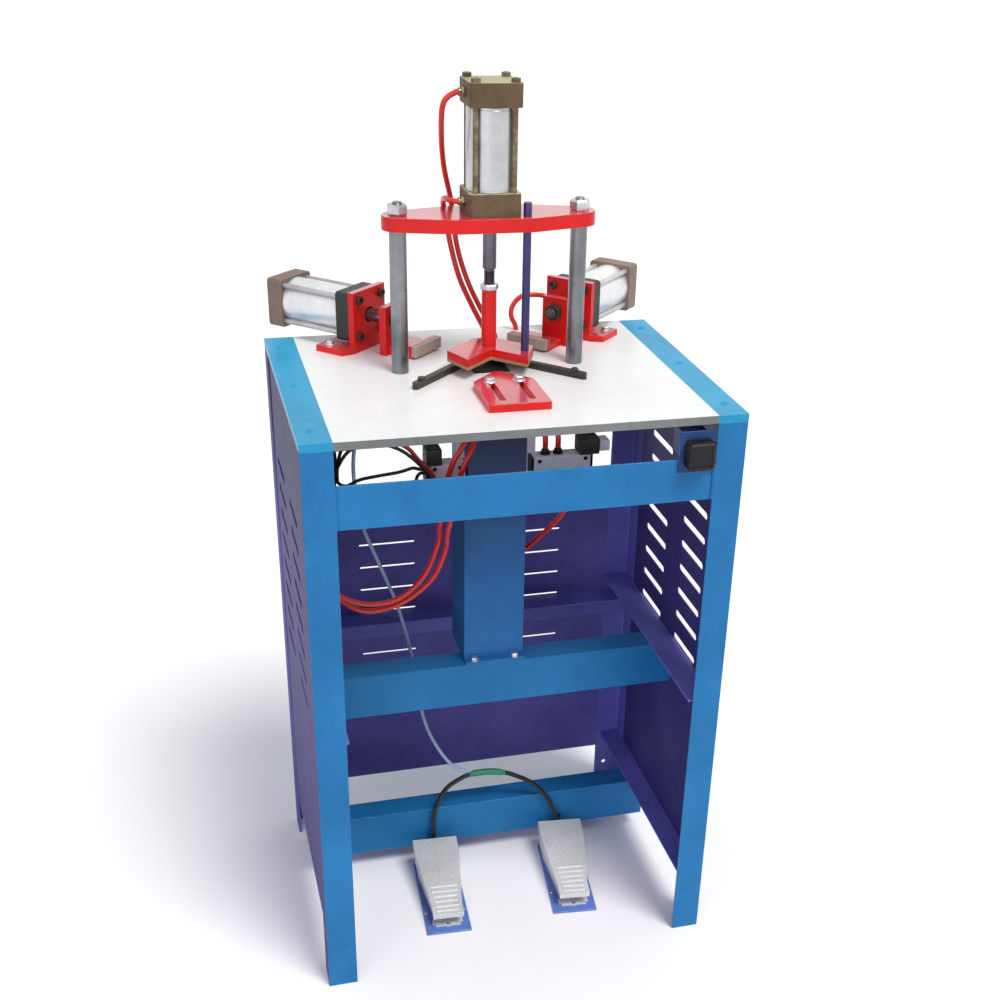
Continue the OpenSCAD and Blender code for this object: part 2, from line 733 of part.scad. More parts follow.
// One ventilation slot with round ends, cut through a sheet that lies in the XZ plane
module slot_2d(height) {
  square([slot_len - height, height], center = true);
  for (x = [-1, 1]) translate([x * (slot_len - height) / 2, 0]) circle(d = height, $fn = 24);
}

module side_panel(side) color(enamel) bench() on_side(side)
  translate([-x_in - panel_t, 0, 0]) rotate([90, 0, 90]) linear_extrude(panel_t) difference() {
    translate([leg_w, side_panel_z]) square([cab_d - 2 * leg_w, frame_z - side_panel_z]);
    for (y = [side_slot_mid - side_slot_dy, side_slot_mid + side_slot_dy], k = [0 : slot_rows - 1])
      translate([y, slot_first + k * slot_pitch]) slot_2d(slot_h);
  }

module side_panel_left() side_panel(-1);
module side_panel_right() side_panel(1);

module back_panel() color(enamel) bench() translate([0, cab_d - iron_t + panel_t, 0])
  rotate([90, 0, 0]) linear_extrude(panel_t) difference() {
    translate([-x_table, back_panel_z]) square([2 * x_table, back_panel_h]);
    for (x = [-back_slot_x, back_slot_x], k = [0 : slot_rows - 1])
      translate([x, back_slot_last - k * slot_pitch]) slot_2d(back_slot_h);
  }

// ---- Table ----

module table_top() color("white") bench() difference() {
  translate([-x_table, 0, frame_z]) cube([2 * x_table, cab_d, table_t]);
  translate([-block_w / 2, press_y - block_w / 2, frame_z - over]) cube([block_w, block_w, table_t + 2 * over]);
  for (x = [-post_x, post_x]) through_table(x, press_y, stud_d);
  for (side = [-1, 1]) {
    fence_bolt_spot(side) through_table(0, 0, fence_bolt_d);
    through_table(side * stop_slot_x, stop_bolt_y, stop_bolt_d);
    jaw_frame(side) flange_bolt_spots() through_table(0, 0, flange_bolt_d);
  }
  for (p = hose_holes) through_table(p.x, p.y, hose_d + gap);
}

module through_table(x, y, d) translate([x, y, frame_z - over])
  cylinder(d = d + hole_gap, h = table_t + 2 * over, $fn = 24);

module table_strips() color(enamel) bench() for (side = [-1, 1]) difference() {
  on_side(side) translate([-x_out, 0, frame_z]) cube([strip_w, cab_d, table_t]);
  strip_screw_spots(side) translate([0, 0, frame_z - over])
    cylinder(d = strip_screw_d + hole_gap, h = table_t + 2 * over, $fn = 24);
}

// Screws of the strips, and the bolts of the fence, the stop, the brackets and the column
module fasteners() color(zinc) bench() {
  for (side = [-1, 1]) {
    strip_screw_spots(side) translate([0, 0, table_h]) {
      cylinder(d = strip_head_d, h = strip_head_h, $fn = 24);
      translate([0, 0, -table_t - 3 * iron_t]) cylinder(d = strip_screw_d, h = table_t + 3 * iron_t, $fn = 24);
    }
    fence_bolt_spot(side) translate([0, 0, table_h + fence_w])
      bolt(fence_bolt_d, fence_w + table_t + bolt_past, fence_head_d, fence_head_h);
    translate([side * stop_slot_x, stop_bolt_y, stop_z + stop_t + gap]) {
      cylinder(d = stop_washer_d, h = stop_washer_t);
      translate([0, 0, stop_washer_t])
        bolt(stop_bolt_d, stop_washer_t + stop_t + 2 * gap + table_t + bolt_past, stop_head_d, stop_head_h);
    }
    jaw_frame(side) flange_bolt_spots() translate([0, 0, table_h + flange_t])
      bolt(flange_bolt_d, flange_t + table_t + bolt_past, flange_head_d, flange_head_h);
    translate([side * column_bolt_x, column_bolt_y, mid_top + foot_t])
      bolt(column_bolt_d, foot_t + iron_t + bolt_past, column_head_d, column_head_h);
  }
}

// ---- Nail driver ----

module driver_column() color(enamel) bench() difference() {
  union() {
    translate([0, column_y, mid_top + foot_t]) linear_extrude(frame_z - mid_top - foot_t) difference() {
      translate([-column_w / 2, 0]) square([column_w, column_d]);
      translate([iron_t - column_w / 2, iron_t]) square([column_w - 2 * iron_t, column_d]);
    }
    translate([-column_w / 2, mid_setback, mid_top]) cube([column_w, column_y + column_d - mid_setback, foot_t]);
    translate([-column_w / 2 + iron_t, column_y + iron_t, shelf_z])
      cube([column_w - 2 * iron_t, column_d - iron_t, shelf_t]);
  }
  for (x = [-column_bolt_x, column_bolt_x]) translate([x, column_bolt_y, mid_top - over])
    cylinder(d = column_bolt_d + hole_gap, h = foot_t + 2 * over, $fn = 24);
  translate([0, press_y, shelf_z - over]) cylinder(d = rod_d + rod_gap, h = shelf_t + 2 * over);
  for (x = [-tie_x, tie_x], y = [-tie_x, tie_x]) translate([x, press_y + y, shelf_z - over])
    cylinder(d = tie_d + hole_gap, h = shelf_t + 2 * over, $fn = 24);
  translate([column_w / 2 - iron_t - over, driver_route[len(driver_route) - 1].y, driver_route[len(driver_route) - 1].z])
    rotate([0, 90, 0]) cylinder(d = hose_d + rod_gap, h = iron_t + 2 * over, $fn = 24);
}

module driver_cylinder() color(bare_steel) bench() translate([0, press_y, 0]) {
  translate([0, 0, driver_cap_z]) cap(cap_t, rod_d + 2 * fit);
  translate([0, 0, driver_barrel_z]) barrel(driver_barrel_l);
  translate([0, 0, driver_low_z]) cap(cap_t, 0);
  mirror([0, 0, 1]) translate([0, 0, -shelf_z - shelf_t]) tie_bolts(shelf_z + shelf_t - driver_low_z, 0);
}

module driver_blade() color(bare_steel) bench() translate([0, press_y, 0]) {
  holder_z = table_h - blade_rest - blade_l - holder_h;
  translate([0, 0, driver_barrel_z + piston_gap]) cylinder(d = bore - 2 * fit, h = piston_t, $fn = 64);
  translate([0, 0, driver_barrel_z + piston_gap + piston_t])
    cylinder(d = rod_d, h = holder_z - driver_barrel_z - piston_gap - piston_t);
  translate([0, 0, holder_z]) cylinder(d = holder_d, h = holder_h);
  translate([-blade_w / 2, -blade_t / 2, holder_z + holder_h]) cube([blade_w, blade_t, blade_l]);
}

module nail_block() color(blackened) bench() translate([0, press_y, 0]) {
  difference() {
    translate([-block_w / 2 + gap, -block_w / 2 + gap, table_h - block_h])
      cube([block_w - 2 * gap, block_w - 2 * gap, block_h]);
    translate([-blade_w / 2 - gap, -blade_t / 2 - gap, table_h - block_h - over])
      cube([blade_w + 2 * gap, blade_t + 2 * gap, block_h + 2 * over]);
  }
  translate([0, block_w / 2 - gap, magazine_top - magazine_h]) difference() {
    translate([-magazine_w / 2, 0, 0]) cube([magazine_w, magazine_l, magazine_h]);
    translate([-blade_w / 2, -over, magazine_wall])
      cube([blade_w, magazine_l + 2 * over, magazine_h - 2 * magazine_wall]);
  }
}

// ---- Press ----

module guide_post(side) color(bare_steel) bench() translate([side * post_x, press_y, table_h]) {
  cylinder(d = post_d, h = post_h);
  translate([0, 0, post_h]) cylinder(d = stud_d, h = bridge_t + washer_t + stud_up);
  translate([0, 0, -table_t - stud_down]) cylinder(d = stud_d, h = table_t + stud_down);
}

module guide_post_left() guide_post(-1);
module guide_post_right() guide_post(1);

module post_nuts() color(zinc) bench() for (x = [-post_x, post_x]) translate([x, press_y, 0]) {
  translate([0, 0, bridge_top]) difference() {
    cylinder(d = post_washer_d, h = washer_t);
    translate([0, 0, -over]) cylinder(d = stud_d + 2 * fit, h = washer_t + 2 * over);
  }
  translate([0, 0, bridge_top + washer_t]) hex_nut(post_nut_w, post_nut_h, stud_d + 2 * fit);
  translate([0, 0, frame_z - post_nut_h]) hex_nut(post_nut_w, post_nut_h, stud_d + 2 * fit);
}

// The bridge: wide under the cylinder, drawn in to a round end over each post
function bridge_half() = concat(
  [[bridge_mid_x, -bridge_mid_y]],
  arc(bridge_end_x - bridge_end_y, 0, bridge_end_y, -75, 75, 12),
  [[bridge_mid_x, bridge_mid_y]]
);

module bridge_plate() color(red_paint) bench() translate([0, press_y, bridge_z]) difference() {
  linear_extrude(bridge_t)
    polygon(concat(bridge_half(), [for (p = bridge_half()) -p]));
  for (x = [-post_x, post_x]) translate([x, 0, -over]) cylinder(d = stud_d + 2 * fit, h = bridge_t + 2 * over);
  translate([0, 0, -over]) cylinder(d = rod_d + rod_gap, h = bridge_t + 2 * over);
  translate([guide_x, guide_y - press_y, -over]) cylinder(d = guide_d + 2 * fit, h = bridge_t + 2 * over);
  for (x = [-tie_x, tie_x], y = [-tie_x, tie_x]) translate([x, y, -over])
    cylinder(d = tie_d + hole_gap, h = bridge_t + 2 * over, $fn = 24);
}

module press_front_cap() color(olive_cast) bench() translate([0, press_y, bridge_top])
  cap(cap_t, rod_d + 2 * fit);
module press_barrel() color(bare_steel) bench() translate([0, press_y, press_barrel_z])
  barrel(press_barrel_l);
module press_rear_cap() color(olive_cast) bench() translate([0, press_y, press_cap_z]) {
  cap(cap_t, 0);
  translate([0, 0, -press_cap_z]) tie_bolts(press_top, -bridge_z);
}

module press_rod() color(bare_steel) bench() translate([0, press_y, 0]) {
  translate([0, 0, press_barrel_z + piston_gap]) cylinder(d = bore - 2 * fit, h = piston_t, $fn = 64);
  translate([0, 0, rod_foot_z]) cylinder(d = rod_d, h = press_barrel_z + piston_gap - rod_foot_z);
  translate([0, 0, stem_top - thread_in]) cylinder(d = thread_d, h = rod_foot_z - stem_top + thread_in);
}

module rod_nut() color(zinc) bench() translate([0, press_y, stem_top])
  hex_nut(nut_w, rod_nut_h, thread_d + 2 * fit);

// The clamp plate: two arms that meet at the back over the corner, with a notch at the front
function clamp_half() = [
  clamp_tip, clamp_heel,
  [clamp_sum - clamp_back_y, clamp_back_y]
];

module clamp_outline() polygon(concat(
  [[0, notch_y]], clamp_half(), [for (i = [2 : -1 : 0]) [-clamp_half()[i].x, clamp_half()[i].y]]
));

module clamp_plate() color(red_paint) bench() difference() {
  union() {
    translate([0, 0, clamp_z]) linear_extrude(clamp_t) clamp_outline();
    translate([0, press_y, stem_z]) cylinder(d = stem_d, h = stem_h);
  }
  translate([0, press_y, stem_top - thread_in]) cylinder(d = thread_d + 2 * fit, h = thread_in + over);
  translate([guide_x, guide_y, clamp_z - over]) cylinder(d = guide_d + 2 * fit, h = clamp_t + 2 * over);
}

module clamp_pad() color("#A08A6A") bench() translate([0, 0, pad_z]) linear_extrude(pad_t) clamp_outline();

module guide_rod() color("#524A78") bench() translate([guide_x, guide_y, clamp_z])
  cylinder(d = guide_d, h = bridge_top + guide_up - clamp_z, $fn = 32);

// ---- Fence and stop ----

module fence_frame(side) on_side(side) translate([0, fence_y, 0]) rotate([0, 0, -135]) children();
module fence_bolt_spot(side) fence_frame(side) translate([fence_bolt_at, -fence_w / 2, 0]) children();

// One bar of the fence: its inner face runs at 45 degrees from the corner to a round end
module fence(side) color(blackened) bench() difference() {
  fence_frame(side) translate([0, 0, table_h])
    linear_extrude(fence_w) polygon(concat(
      [[0, 0]], arc(fence_l - fence_w / 2, -fence_w / 2, fence_w / 2, 90, -90, 8), [[-fence_w, -fence_w]]
    ));
  fence_bolt_spot(side) translate([0, 0, table_h - over])
    cylinder(d = fence_bolt_d + hole_gap, h = fence_w + 2 * over, $fn = 24);
}

module fence_left() fence(-1);
module fence_right() fence(1);

module stop_plate() color(red_paint) bench() translate([0, 0, stop_z]) linear_extrude(stop_t) difference() {
  polygon([
    [-stop_w / 2, stop_front], [stop_w / 2, stop_front], [stop_w / 2, stop_shoulder],
    [stop_tip_w / 2, stop_shoulder + stop_w / 2 - stop_tip_w / 2],
    [-stop_tip_w / 2, stop_shoulder + stop_w / 2 - stop_tip_w / 2], [-stop_w / 2, stop_shoulder]
  ]);
  for (x = [-stop_slot_x, stop_slot_x]) {
    translate([x - stop_slot_w / 2, stop_slot_front]) square([stop_slot_w, stop_bolt_y - stop_slot_front]);
    for (y = [stop_slot_front, stop_bolt_y]) translate([x, y]) circle(d = stop_slot_w, $fn = 24);
  }
}

// ---- Jaws ----

// Turns a cylinder's own axis into the jaw's axis, at distance u along it
module on_jaw_axis(u) translate([u, jaw_v, jaw_axis_z]) rotate([0, 90, 0]) children();

module flange_bolt_spots() for (v = [-half_bracket - flange_bolt_out, flange_bolt_v])
  translate([flange_bolt_u, jaw_v + v, 0]) children();

module jaw_bracket(side) color(red_paint) bench() jaw_frame(side) difference() {
  union() {
    translate([bracket_u, jaw_v - half_bracket, table_h])
      cube([bracket_t, 2 * half_bracket, jaw_z + half_bracket]);
    translate([0, jaw_v, table_h]) linear_extrude(flange_t) polygon([
      [bracket_u, -half_bracket], [jaw_cap_u, -half_bracket - flange_side],
      [jaw_cap_u + flange_l, -half_bracket - flange_side], [jaw_cap_u + flange_l, half_bracket],
      [bracket_u, half_bracket]
    ]);
  }
  on_jaw_axis(bracket_u - over) cylinder(d = rod_d + rod_gap, h = bracket_t + 2 * over);
  on_jaw_axis(bracket_u - over) for (x = [-tie_x, tie_x], y = [-tie_x, tie_x])
    translate([x, y, 0]) cylinder(d = tie_d + hole_gap, h = bracket_t + 2 * over, $fn = 24);
  flange_bolt_spots() translate([0, 0, table_h - over])
    cylinder(d = flange_bolt_d + hole_gap, h = flange_t + 2 * over, $fn = 24);
}

module jaw_cylinder(side) color(bare_steel) bench() jaw_frame(side) {
  on_jaw_axis(jaw_cap_u) cap(jaw_cap_t, rod_d + 2 * fit);
  on_jaw_axis(jaw_barrel_u) barrel(jaw_barrel_l);
  on_jaw_axis(jaw_rear_u) cap(jaw_cap_t, 0);
  on_jaw_axis(0) mirror([0, 0, 1]) translate([0, 0, -jaw_end_u])
    tie_bolts(jaw_end_u - bracket_u, 0);
}

module jaw_rod(side) color(bare_steel) bench() jaw_frame(side) {
  piston_u = jaw_rear_u - piston_gap - piston_t;
  thread_u = jaw_post_u - jaw_nut_t - jaw_thread_shown;
  on_jaw_axis(piston_u) cylinder(d = bore - 2 * fit, h = piston_t, $fn = 64);
  on_jaw_axis(jaw_post_u + jaw_post_t) cylinder(d = rod_d, h = piston_u - jaw_post_u - jaw_post_t);
  on_jaw_axis(thread_u) cylinder(d = thread_d, h = jaw_post_u + jaw_post_t - thread_u);
  on_jaw_axis(jaw_post_u - jaw_nut_t) hex_nut(nut_w, jaw_nut_t, thread_d + 2 * fit);
}

// A jaw: a sole that slides on the table, a lip with the pad, and a post for the rod
module jaw(side) bench() jaw_frame(side) {
  lip_h = jaw_pad_z + jaw_pad_h - table_h - gap;
  color(red_paint) difference() {
    union() {
      translate([jaw_sole_u, jaw_pad_v, table_h + gap]) cube([jaw_sole_l, pad_w, jaw_sole_t]);
      translate([jaw_sole_u, jaw_pad_v, table_h + gap]) cube([jaw_pad_t, pad_w, lip_h]);
      translate([jaw_post_u, jaw_v - jaw_post_w / 2, table_h + gap])
        cube([jaw_post_t, jaw_post_w, jaw_z + jaw_post_w / 2]);
    }
    on_jaw_axis(jaw_post_u - over) cylinder(d = thread_d + 2 * fit, h = jaw_post_t + 2 * over);
  }
  color("#8A8478") translate([jaw_face_u, jaw_pad_v, jaw_pad_z]) cube([jaw_pad_t - seam, pad_w, jaw_pad_h]);
}

module jaw_bracket_left() jaw_bracket(-1);
module jaw_bracket_right() jaw_bracket(1);
module jaw_cylinder_left() jaw_cylinder(-1);
module jaw_cylinder_right() jaw_cylinder(1);
module jaw_rod_left() jaw_rod(-1);
module jaw_rod_right() jaw_rod(1);
module jaw_left() jaw(-1);
module jaw_right() jaw(1);

// ---- Valves and regulator ----

// Two valves on folded brackets that hang from the table behind the upper rail, with their
// fittings and coil, the manifold under the left rail, and the terminal box of the pedal cable
module valve_bank() bench() {
  color(bare_steel) for (v = valves) translate([v.x, valve_y, valve_bottom]) {
    for (x = [0, v.y - strap_w]) translate([x, valve_d, 0]) cube([strap_w, bracket_sheet, valve_drop]);
    cube([v.y, valve_d, valve_h]);
  }
  color(blackened) {
    for (c = coils) translate([c.x, valve_y - coil_lead, valve_top]) cube([c.y, valve_d + coil_lead, coil_h]);
    for (x = riser_x) translate([x, riser_y, valve_top]) cylinder(d = fitting_d, h = fitting_h);
    for (x = port_x) translate([x, riser_y, valve_bottom - fitting_h]) cylinder(d = fitting_d, h = fitting_h);
    translate(terminal_at) cube([terminal_w, terminal_w, terminal_h]);
  }
  color(bare_steel) translate(manifold_at) cube([manifold_w, manifold_l, manifold_h]);
}

// The regulator: a front plate on the rail, a body behind it above the rail, and the spindle
module regulator() bench() {
  color(enamel) translate([knob_x - regulator_w / 2, iron_t - regulator_t, knob_z - regulator_h / 2])
    cube([regulator_w, regulator_t, regulator_h]);
  color(bare_steel) translate([knob_x - regulator_body / 2, iron_t, upper_rail_z])
    cube([regulator_body, regulator_body_d, regulator_body]);
  color(bare_steel) translate([knob_x, iron_t, knob_z]) rotate([90, 0, 0])
    cylinder(d = spindle_d, h = regulator_t + spindle_l);
}

module regulator_knob() color(blackened) bench()
  translate([knob_x, iron_t - regulator_t - gap, knob_z]) rotate([90, 0, 0]) difference() {
    linear_extrude(knob_h - gap) polygon(round_rect(knob_w, knob_w, knob_r));
    translate([0, 0, -over]) cylinder(d = spindle_d + 2 * fit, h = spindle_l + 2 * over);
  }

// ---- Pedals ----

module on_pedal(i) translate(pedal_spots[i]) rotate([0, 0, pedal_turns[i]]) children();

// Floor plate and cast base of a pedal, lower than the treadle wherever the treadle comes down
module pedal_base(i) bench() on_pedal(i) {
  color("#4A70AC") translate([-pedal_w / 2, 0, 0]) cube([pedal_w, pedal_l, plate_t]);
  color(hammered) difference() {
    union() {
      intersection() {
        translate([-treadle_w, 0, 0]) rotate([90, 0, 90]) linear_extrude(2 * treadle_w) polygon([
          [0, plate_t + seam], [base_back, plate_t + seam], [base_back, hinge_z + base_lip],
          [hinge_y - hub_r, hinge_z + base_lip], [toe_y + toe_l, plate_t + base_lip], [0, plate_t + base_lip]
        ]);
        linear_extrude(pedal_h) union() {
          treadle_outline(skirt_t + base_gap);
          translate([-toe_w / 2, base_y]) square([toe_w, toe_l / 2]);
        }
      }
      translate([-gland_d, base_back, plate_t + seam]) cube([2 * gland_d, gland_l, gland_z - plate_t - seam]);
      translate([0, gland_y, gland_z]) cylinder(d = gland_d, h = gland_h, $fn = 24);
      translate([0, 0, plate_t + seam]) linear_extrude(lug_t - seam)
        polygon(concat(arc(0, base_y, lug_r, 200, 340, 8), [[lug_r, base_y + over], [-lug_r, base_y + over]]));
    }
    translate([-treadle_w, hinge_y, hinge_z]) rotate([0, 90, 0])
      cylinder(d = pin_d + 2 * fit, h = 2 * treadle_w, $fn = 24);
  }
  color(zinc) translate([-treadle_w / 2, hinge_y, hinge_z]) rotate([0, 90, 0])
    cylinder(d = pin_d, h = treadle_w, $fn = 24);
}

// Outline of the treadle seen from above, drawn in by the given wall
function treadle_side(wall) = [
  [toe_w / 2 - wall, toe_y + wall], [toe_w / 2 - wall, toe_y + toe_l],
  [treadle_w / 2 - wall, pedal_l - treadle_back_l],
  [treadle_w / 2 - wall, base_back + (wall > 0 ? over : 0)]
];
module treadle_outline(wall) polygon(concat(
  treadle_side(wall), [for (k = [3 : -1 : 0]) [-treadle_side(wall)[k].x, treadle_side(wall)[k].y]]
));

// Height of the treadle's top at distance y from the front of its plate
function top(y) = toe_h + (pedal_h - toe_h) / (base_back - toe_y) * (y - toe_y);

// The treadle: a cast cover that narrows to a ribbed toe, with a skirt along each side
module treadle_side_view() rotate([90, 0, 90]) translate([0, 0, -treadle_w]) linear_extrude(2 * treadle_w)
  children();
module treadle(i) color(hammered) bench() on_pedal(i) difference() {
  union() {
    intersection() {
      treadle_side_view() polygon([
        [toe_y, toe_under], [base_back, pedal_h - treadle_back_h], [base_back, pedal_h], [toe_y, toe_h]
      ]);
      linear_extrude(2 * pedal_h) treadle_outline(0);
    }
    intersection() {
      treadle_side_view() for (k = [0 : rib_count - 1]) let (y = toe_y + rib_first + k * rib_pitch)
        polygon([for (c = [0 : 3]) [y + rib_flank[c], top(y + rib_flank[c]) + [-rib_h, rib_h, rib_h, -rib_h][c]]]);
      linear_extrude(2 * pedal_h) treadle_outline(rib_in);
    }
  }
  intersection() {
    rotate([90, 0, 90]) translate([0, 0, -treadle_w]) linear_extrude(2 * treadle_w) polygon([
      [0, 0], [2 * pedal_l, 0], [2 * pedal_l, top(2 * pedal_l) - treadle_top_t], [0, top(0) - treadle_top_t]
    ]);
    translate([0, 0, -over]) linear_extrude(2 * pedal_h) treadle_outline(skirt_t);
  }
  translate([-treadle_w, hinge_y, hinge_z]) rotate([0, 90, 0])
    cylinder(d = pin_d + 2 * fit, h = 2 * treadle_w, $fn = 24);
}

module pedal_base_left() pedal_base(0);
module pedal_base_right() pedal_base(1);
module pedal_left() treadle(0);
module pedal_right() treadle(1);

// ---- Hoses and cables ----

module air_hoses() color("#D8382A") bench() {
  for (route = [press_route, press_low_route, jaw_right_route, jaw_left_route, driver_route])
    tube(route, hose_d);
  for (route = [feed_route, link_route]) tube(route, feed_d);
}

module wiring() color(blackened) bench() {
  tube(coil_wire, wire_d, 1);
  tube(valve_wire, wire_d, 1);
}

module pedal_cable() color("#A8C0D8") bench() tube(cable_route, cable_d);

module pedal_leads() color(blackened) bench() {
  tube(lead_left, lead_d);
  tube(lead_right, lead_d);
}

module cable_joint() color("#3A9A78") bench() tube(joint_route, joint_d);

leg_front_left();
leg_front_right();
leg_rear_left();
leg_rear_right();
upper_front_rail();
upper_rear_rail();
upper_side_rail_left();
upper_side_rail_right();
mid_front_rail();
mid_rear_rail();
mid_side_rail_left();
mid_side_rail_right();
bottom_front_rail();
bottom_side_rail_left();
bottom_side_rail_right();
side_panel_left();
side_panel_right();
back_panel();
table_top();
table_strips();
fasteners();
driver_column();
driver_cylinder();
driver_blade();
nail_block();
guide_post_left();
guide_post_right();
bridge_plate();
post_nuts();
press_front_cap();
press_barrel();
press_rear_cap();
press_rod();
rod_nut();
clamp_plate();
clamp_pad();
guide_rod();
fence_left();
fence_right();
stop_plate();
jaw_bracket_left();
jaw_bracket_right();
jaw_cylinder_left();
jaw_cylinder_right();
jaw_rod_left();
jaw_rod_right();
jaw_left();
jaw_right();
valve_bank();
regulator();
regulator_knob();
pedal_base_left();
pedal_base_right();
pedal_left();
pedal_right();
air_hoses();
wiring();
pedal_cable();
pedal_leads();
cable_joint();
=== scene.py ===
import json
import math

import bmesh
import bpy
from mathutils import Matrix, Vector


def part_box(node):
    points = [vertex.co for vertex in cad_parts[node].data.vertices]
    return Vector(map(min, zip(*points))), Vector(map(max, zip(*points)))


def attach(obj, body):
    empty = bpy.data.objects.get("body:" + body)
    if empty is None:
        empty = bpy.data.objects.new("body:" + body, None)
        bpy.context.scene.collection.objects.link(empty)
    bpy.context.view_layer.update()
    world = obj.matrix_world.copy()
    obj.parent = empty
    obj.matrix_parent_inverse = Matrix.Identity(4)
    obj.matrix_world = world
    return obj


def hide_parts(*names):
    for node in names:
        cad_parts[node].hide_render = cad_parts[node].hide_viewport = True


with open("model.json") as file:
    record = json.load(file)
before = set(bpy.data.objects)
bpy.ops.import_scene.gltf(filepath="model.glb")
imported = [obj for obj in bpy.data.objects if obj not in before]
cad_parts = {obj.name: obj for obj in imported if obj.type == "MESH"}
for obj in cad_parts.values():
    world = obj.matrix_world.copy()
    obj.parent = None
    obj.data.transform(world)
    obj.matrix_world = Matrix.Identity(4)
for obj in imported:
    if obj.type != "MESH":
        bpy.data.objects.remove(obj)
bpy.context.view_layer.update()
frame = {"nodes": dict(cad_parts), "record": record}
bodyOf = {}
for bodyName, bodyNodes in frame["record"]["behaviour"]["bodies"].items():
    for nodeName in bodyNodes:
        bodyOf[nodeName] = bodyName
slotOf = {part["node"]: part["material_slot"] for part in frame["record"]["subparts"]}
print("frame loaded:", len(bodyOf), "nodes")

# Camera, at the photograph's angle
camera = {
    "place": (-0.47477, -1.96796, 1.61060),
    "right": (0.96066769, -0.2754845, 0.03501245),
    "down": (-0.10155205, -0.46584952, -0.87901729),
    "ahead": (0.25846617, 0.84088793, -0.4755026),
    "lens": 50.343,
    "shift": (-0.06324, 0.11308),
}


def addCamera(facts):
    data = bpy.data.cameras.new("camera")
    data.lens = facts["lens"]
    data.sensor_width = 36
    data.shift_x, data.shift_y = facts["shift"]
    data.clip_start = 0.05
    obj = bpy.data.objects.new("camera", data)
    right, down, ahead = (Vector(facts[k]) for k in ("right", "down", "ahead"))
    turn = Matrix((right, -down, -ahead)).transposed()
    obj.matrix_world = Matrix.Translation(Vector(facts["place"])) @ turn.to_4x4()
    bpy.context.collection.objects.link(obj)
    bpy.context.scene.camera = obj


addCamera(camera)

# Bench places are in metres from the front faces of the legs, as the part's own sizes are
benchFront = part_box("table_top")[0].y
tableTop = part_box("table_top")[1].z
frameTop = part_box("table_top")[0].z
pressY = sum(corner.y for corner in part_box("press_barrel")) / 2 - benchFront


def bench(x, y, z):
    return Vector((x, y + benchFront, z))


# Small helpers for modelling
def only(*objs):
    bpy.ops.object.select_all(action="DESELECT")
    for obj in objs:
        obj.select_set(True)
    bpy.context.view_layer.objects.active = objs[0]


def bakePlace(obj):
    only(obj)
    bpy.ops.object.transform_apply(location=True, rotation=True, scale=True)


def applyModifiers(obj):
    only(obj)
    for modifier in list(obj.modifiers):
        bpy.ops.object.modifier_apply(modifier=modifier.name)


def smoothEdges(obj, angle=35):
    # broad flat faces keep their own normals, and the small ones beside them bend
    only(obj)
    bpy.ops.object.shade_smooth_by_angle(angle=math.radians(angle))
    weigh = obj.modifiers.new("flat faces first", "WEIGHTED_NORMAL")
    weigh.weight = 100
    weigh.keep_sharp = True
    applyModifiers(obj)


def roundEdges(obj, width, segments=2, angle=30):
    bevel = obj.modifiers.new("soft edges", "BEVEL")
    bevel.width = width
    bevel.segments = segments
    bevel.limit_method = "ANGLE"
    bevel.angle_limit = math.radians(angle)
    bevel.use_clamp_overlap = True
    applyModifiers(obj)
    # the narrow faces of the bevel are marked, so that a finish can show wear and a painted highlight on them
    mark = obj.data.attributes.get("edge") or obj.data.attributes.new("edge", "FLOAT", "FACE")
    for face in obj.data.polygons:
        corners = [obj.data.vertices[k].co for k in face.vertices]
        longest = max((corners[k] - corners[k - 1]).length for k in range(len(corners)))
        mark.data[face.index].value = 1 if face.area < longest * width * 1.1 else 0


def copyNode(node, name):
    # a node's mesh is loose triangles, so its copy is merged and its flat faces are joined
    obj = frame["nodes"][node].copy()
    obj.data = obj.data.copy()
    obj.name = name
    bpy.context.collection.objects.link(obj)
    only(obj)
    bpy.ops.object.mode_set(mode="EDIT")
    bpy.ops.mesh.select_all(action="SELECT")
    bpy.ops.mesh.remove_doubles(threshold=0.00002)
    bpy.ops.mesh.dissolve_limited(angle_limit=math.radians(1.0))
    bpy.ops.mesh.select_all(action="DESELECT")
    bpy.ops.object.mode_set(mode="OBJECT")
    obj.data.materials.clear()
    return obj


def splitLoose(obj):
    only(obj)
    bpy.ops.object.mode_set(mode="EDIT")
    bpy.ops.mesh.select_all(action="SELECT")
    bpy.ops.mesh.separate(type="LOOSE")
    bpy.ops.object.mode_set(mode="OBJECT")
    return list(bpy.context.selected_objects)


def reach(obj):
    corners = [obj.matrix_world @ vertex.co for vertex in obj.data.vertices]
    low = Vector([min(c[i] for c in corners) for i in range(3)])
    high = Vector([max(c[i] for c in corners) for i in range(3)])
    return low, high


def settle(obj, look, node, replaced=True):
    # the piece's finish and the body that it moves with
    obj.data.materials.clear()
    obj.data.materials.append(finishes[look])
    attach(obj, bodyOf[node])
    if replaced:
        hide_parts(node)
    return obj


def dress(obj, look, node, angle=35, replaced=True):
    smoothEdges(obj, angle)
    return settle(obj, look, node, replaced)


def softNode(node, name, width, look, segments=2, angle=35):
    # the whole node as one piece with soft edges
    soft = copyNode(node, name)
    roundEdges(soft, width, segments)
    return dress(soft, look, node, angle)


def softParts(node, name, width, looks):
    # the loose solids of one node as soft pieces, each with the finish that looks gives its box
    parts = splitLoose(copyNode(node, name))
    for k, part in enumerate(parts):
        low, high = reach(part)
        part.name = f"{name}_{k}"
        roundEdges(part, width)
        dress(part, looks(low, high), node)
    return parts


def paintFaces(obj, look, test):
    # a second finish on the faces that pass the test
    obj.data.materials.append(finishes[look])
    index = len(obj.data.materials) - 1
    for face in obj.data.polygons:
        if test(face.center, face.normal):
            face.material_index = index


def paintTopSheen(obj, look="redTopPaintedSheen"):
    # painted sheen: faces that look up take a second finish, standing in for the light they catch and reflect
    paintFaces(obj, look, lambda centre, normal: normal.z > 0.8)


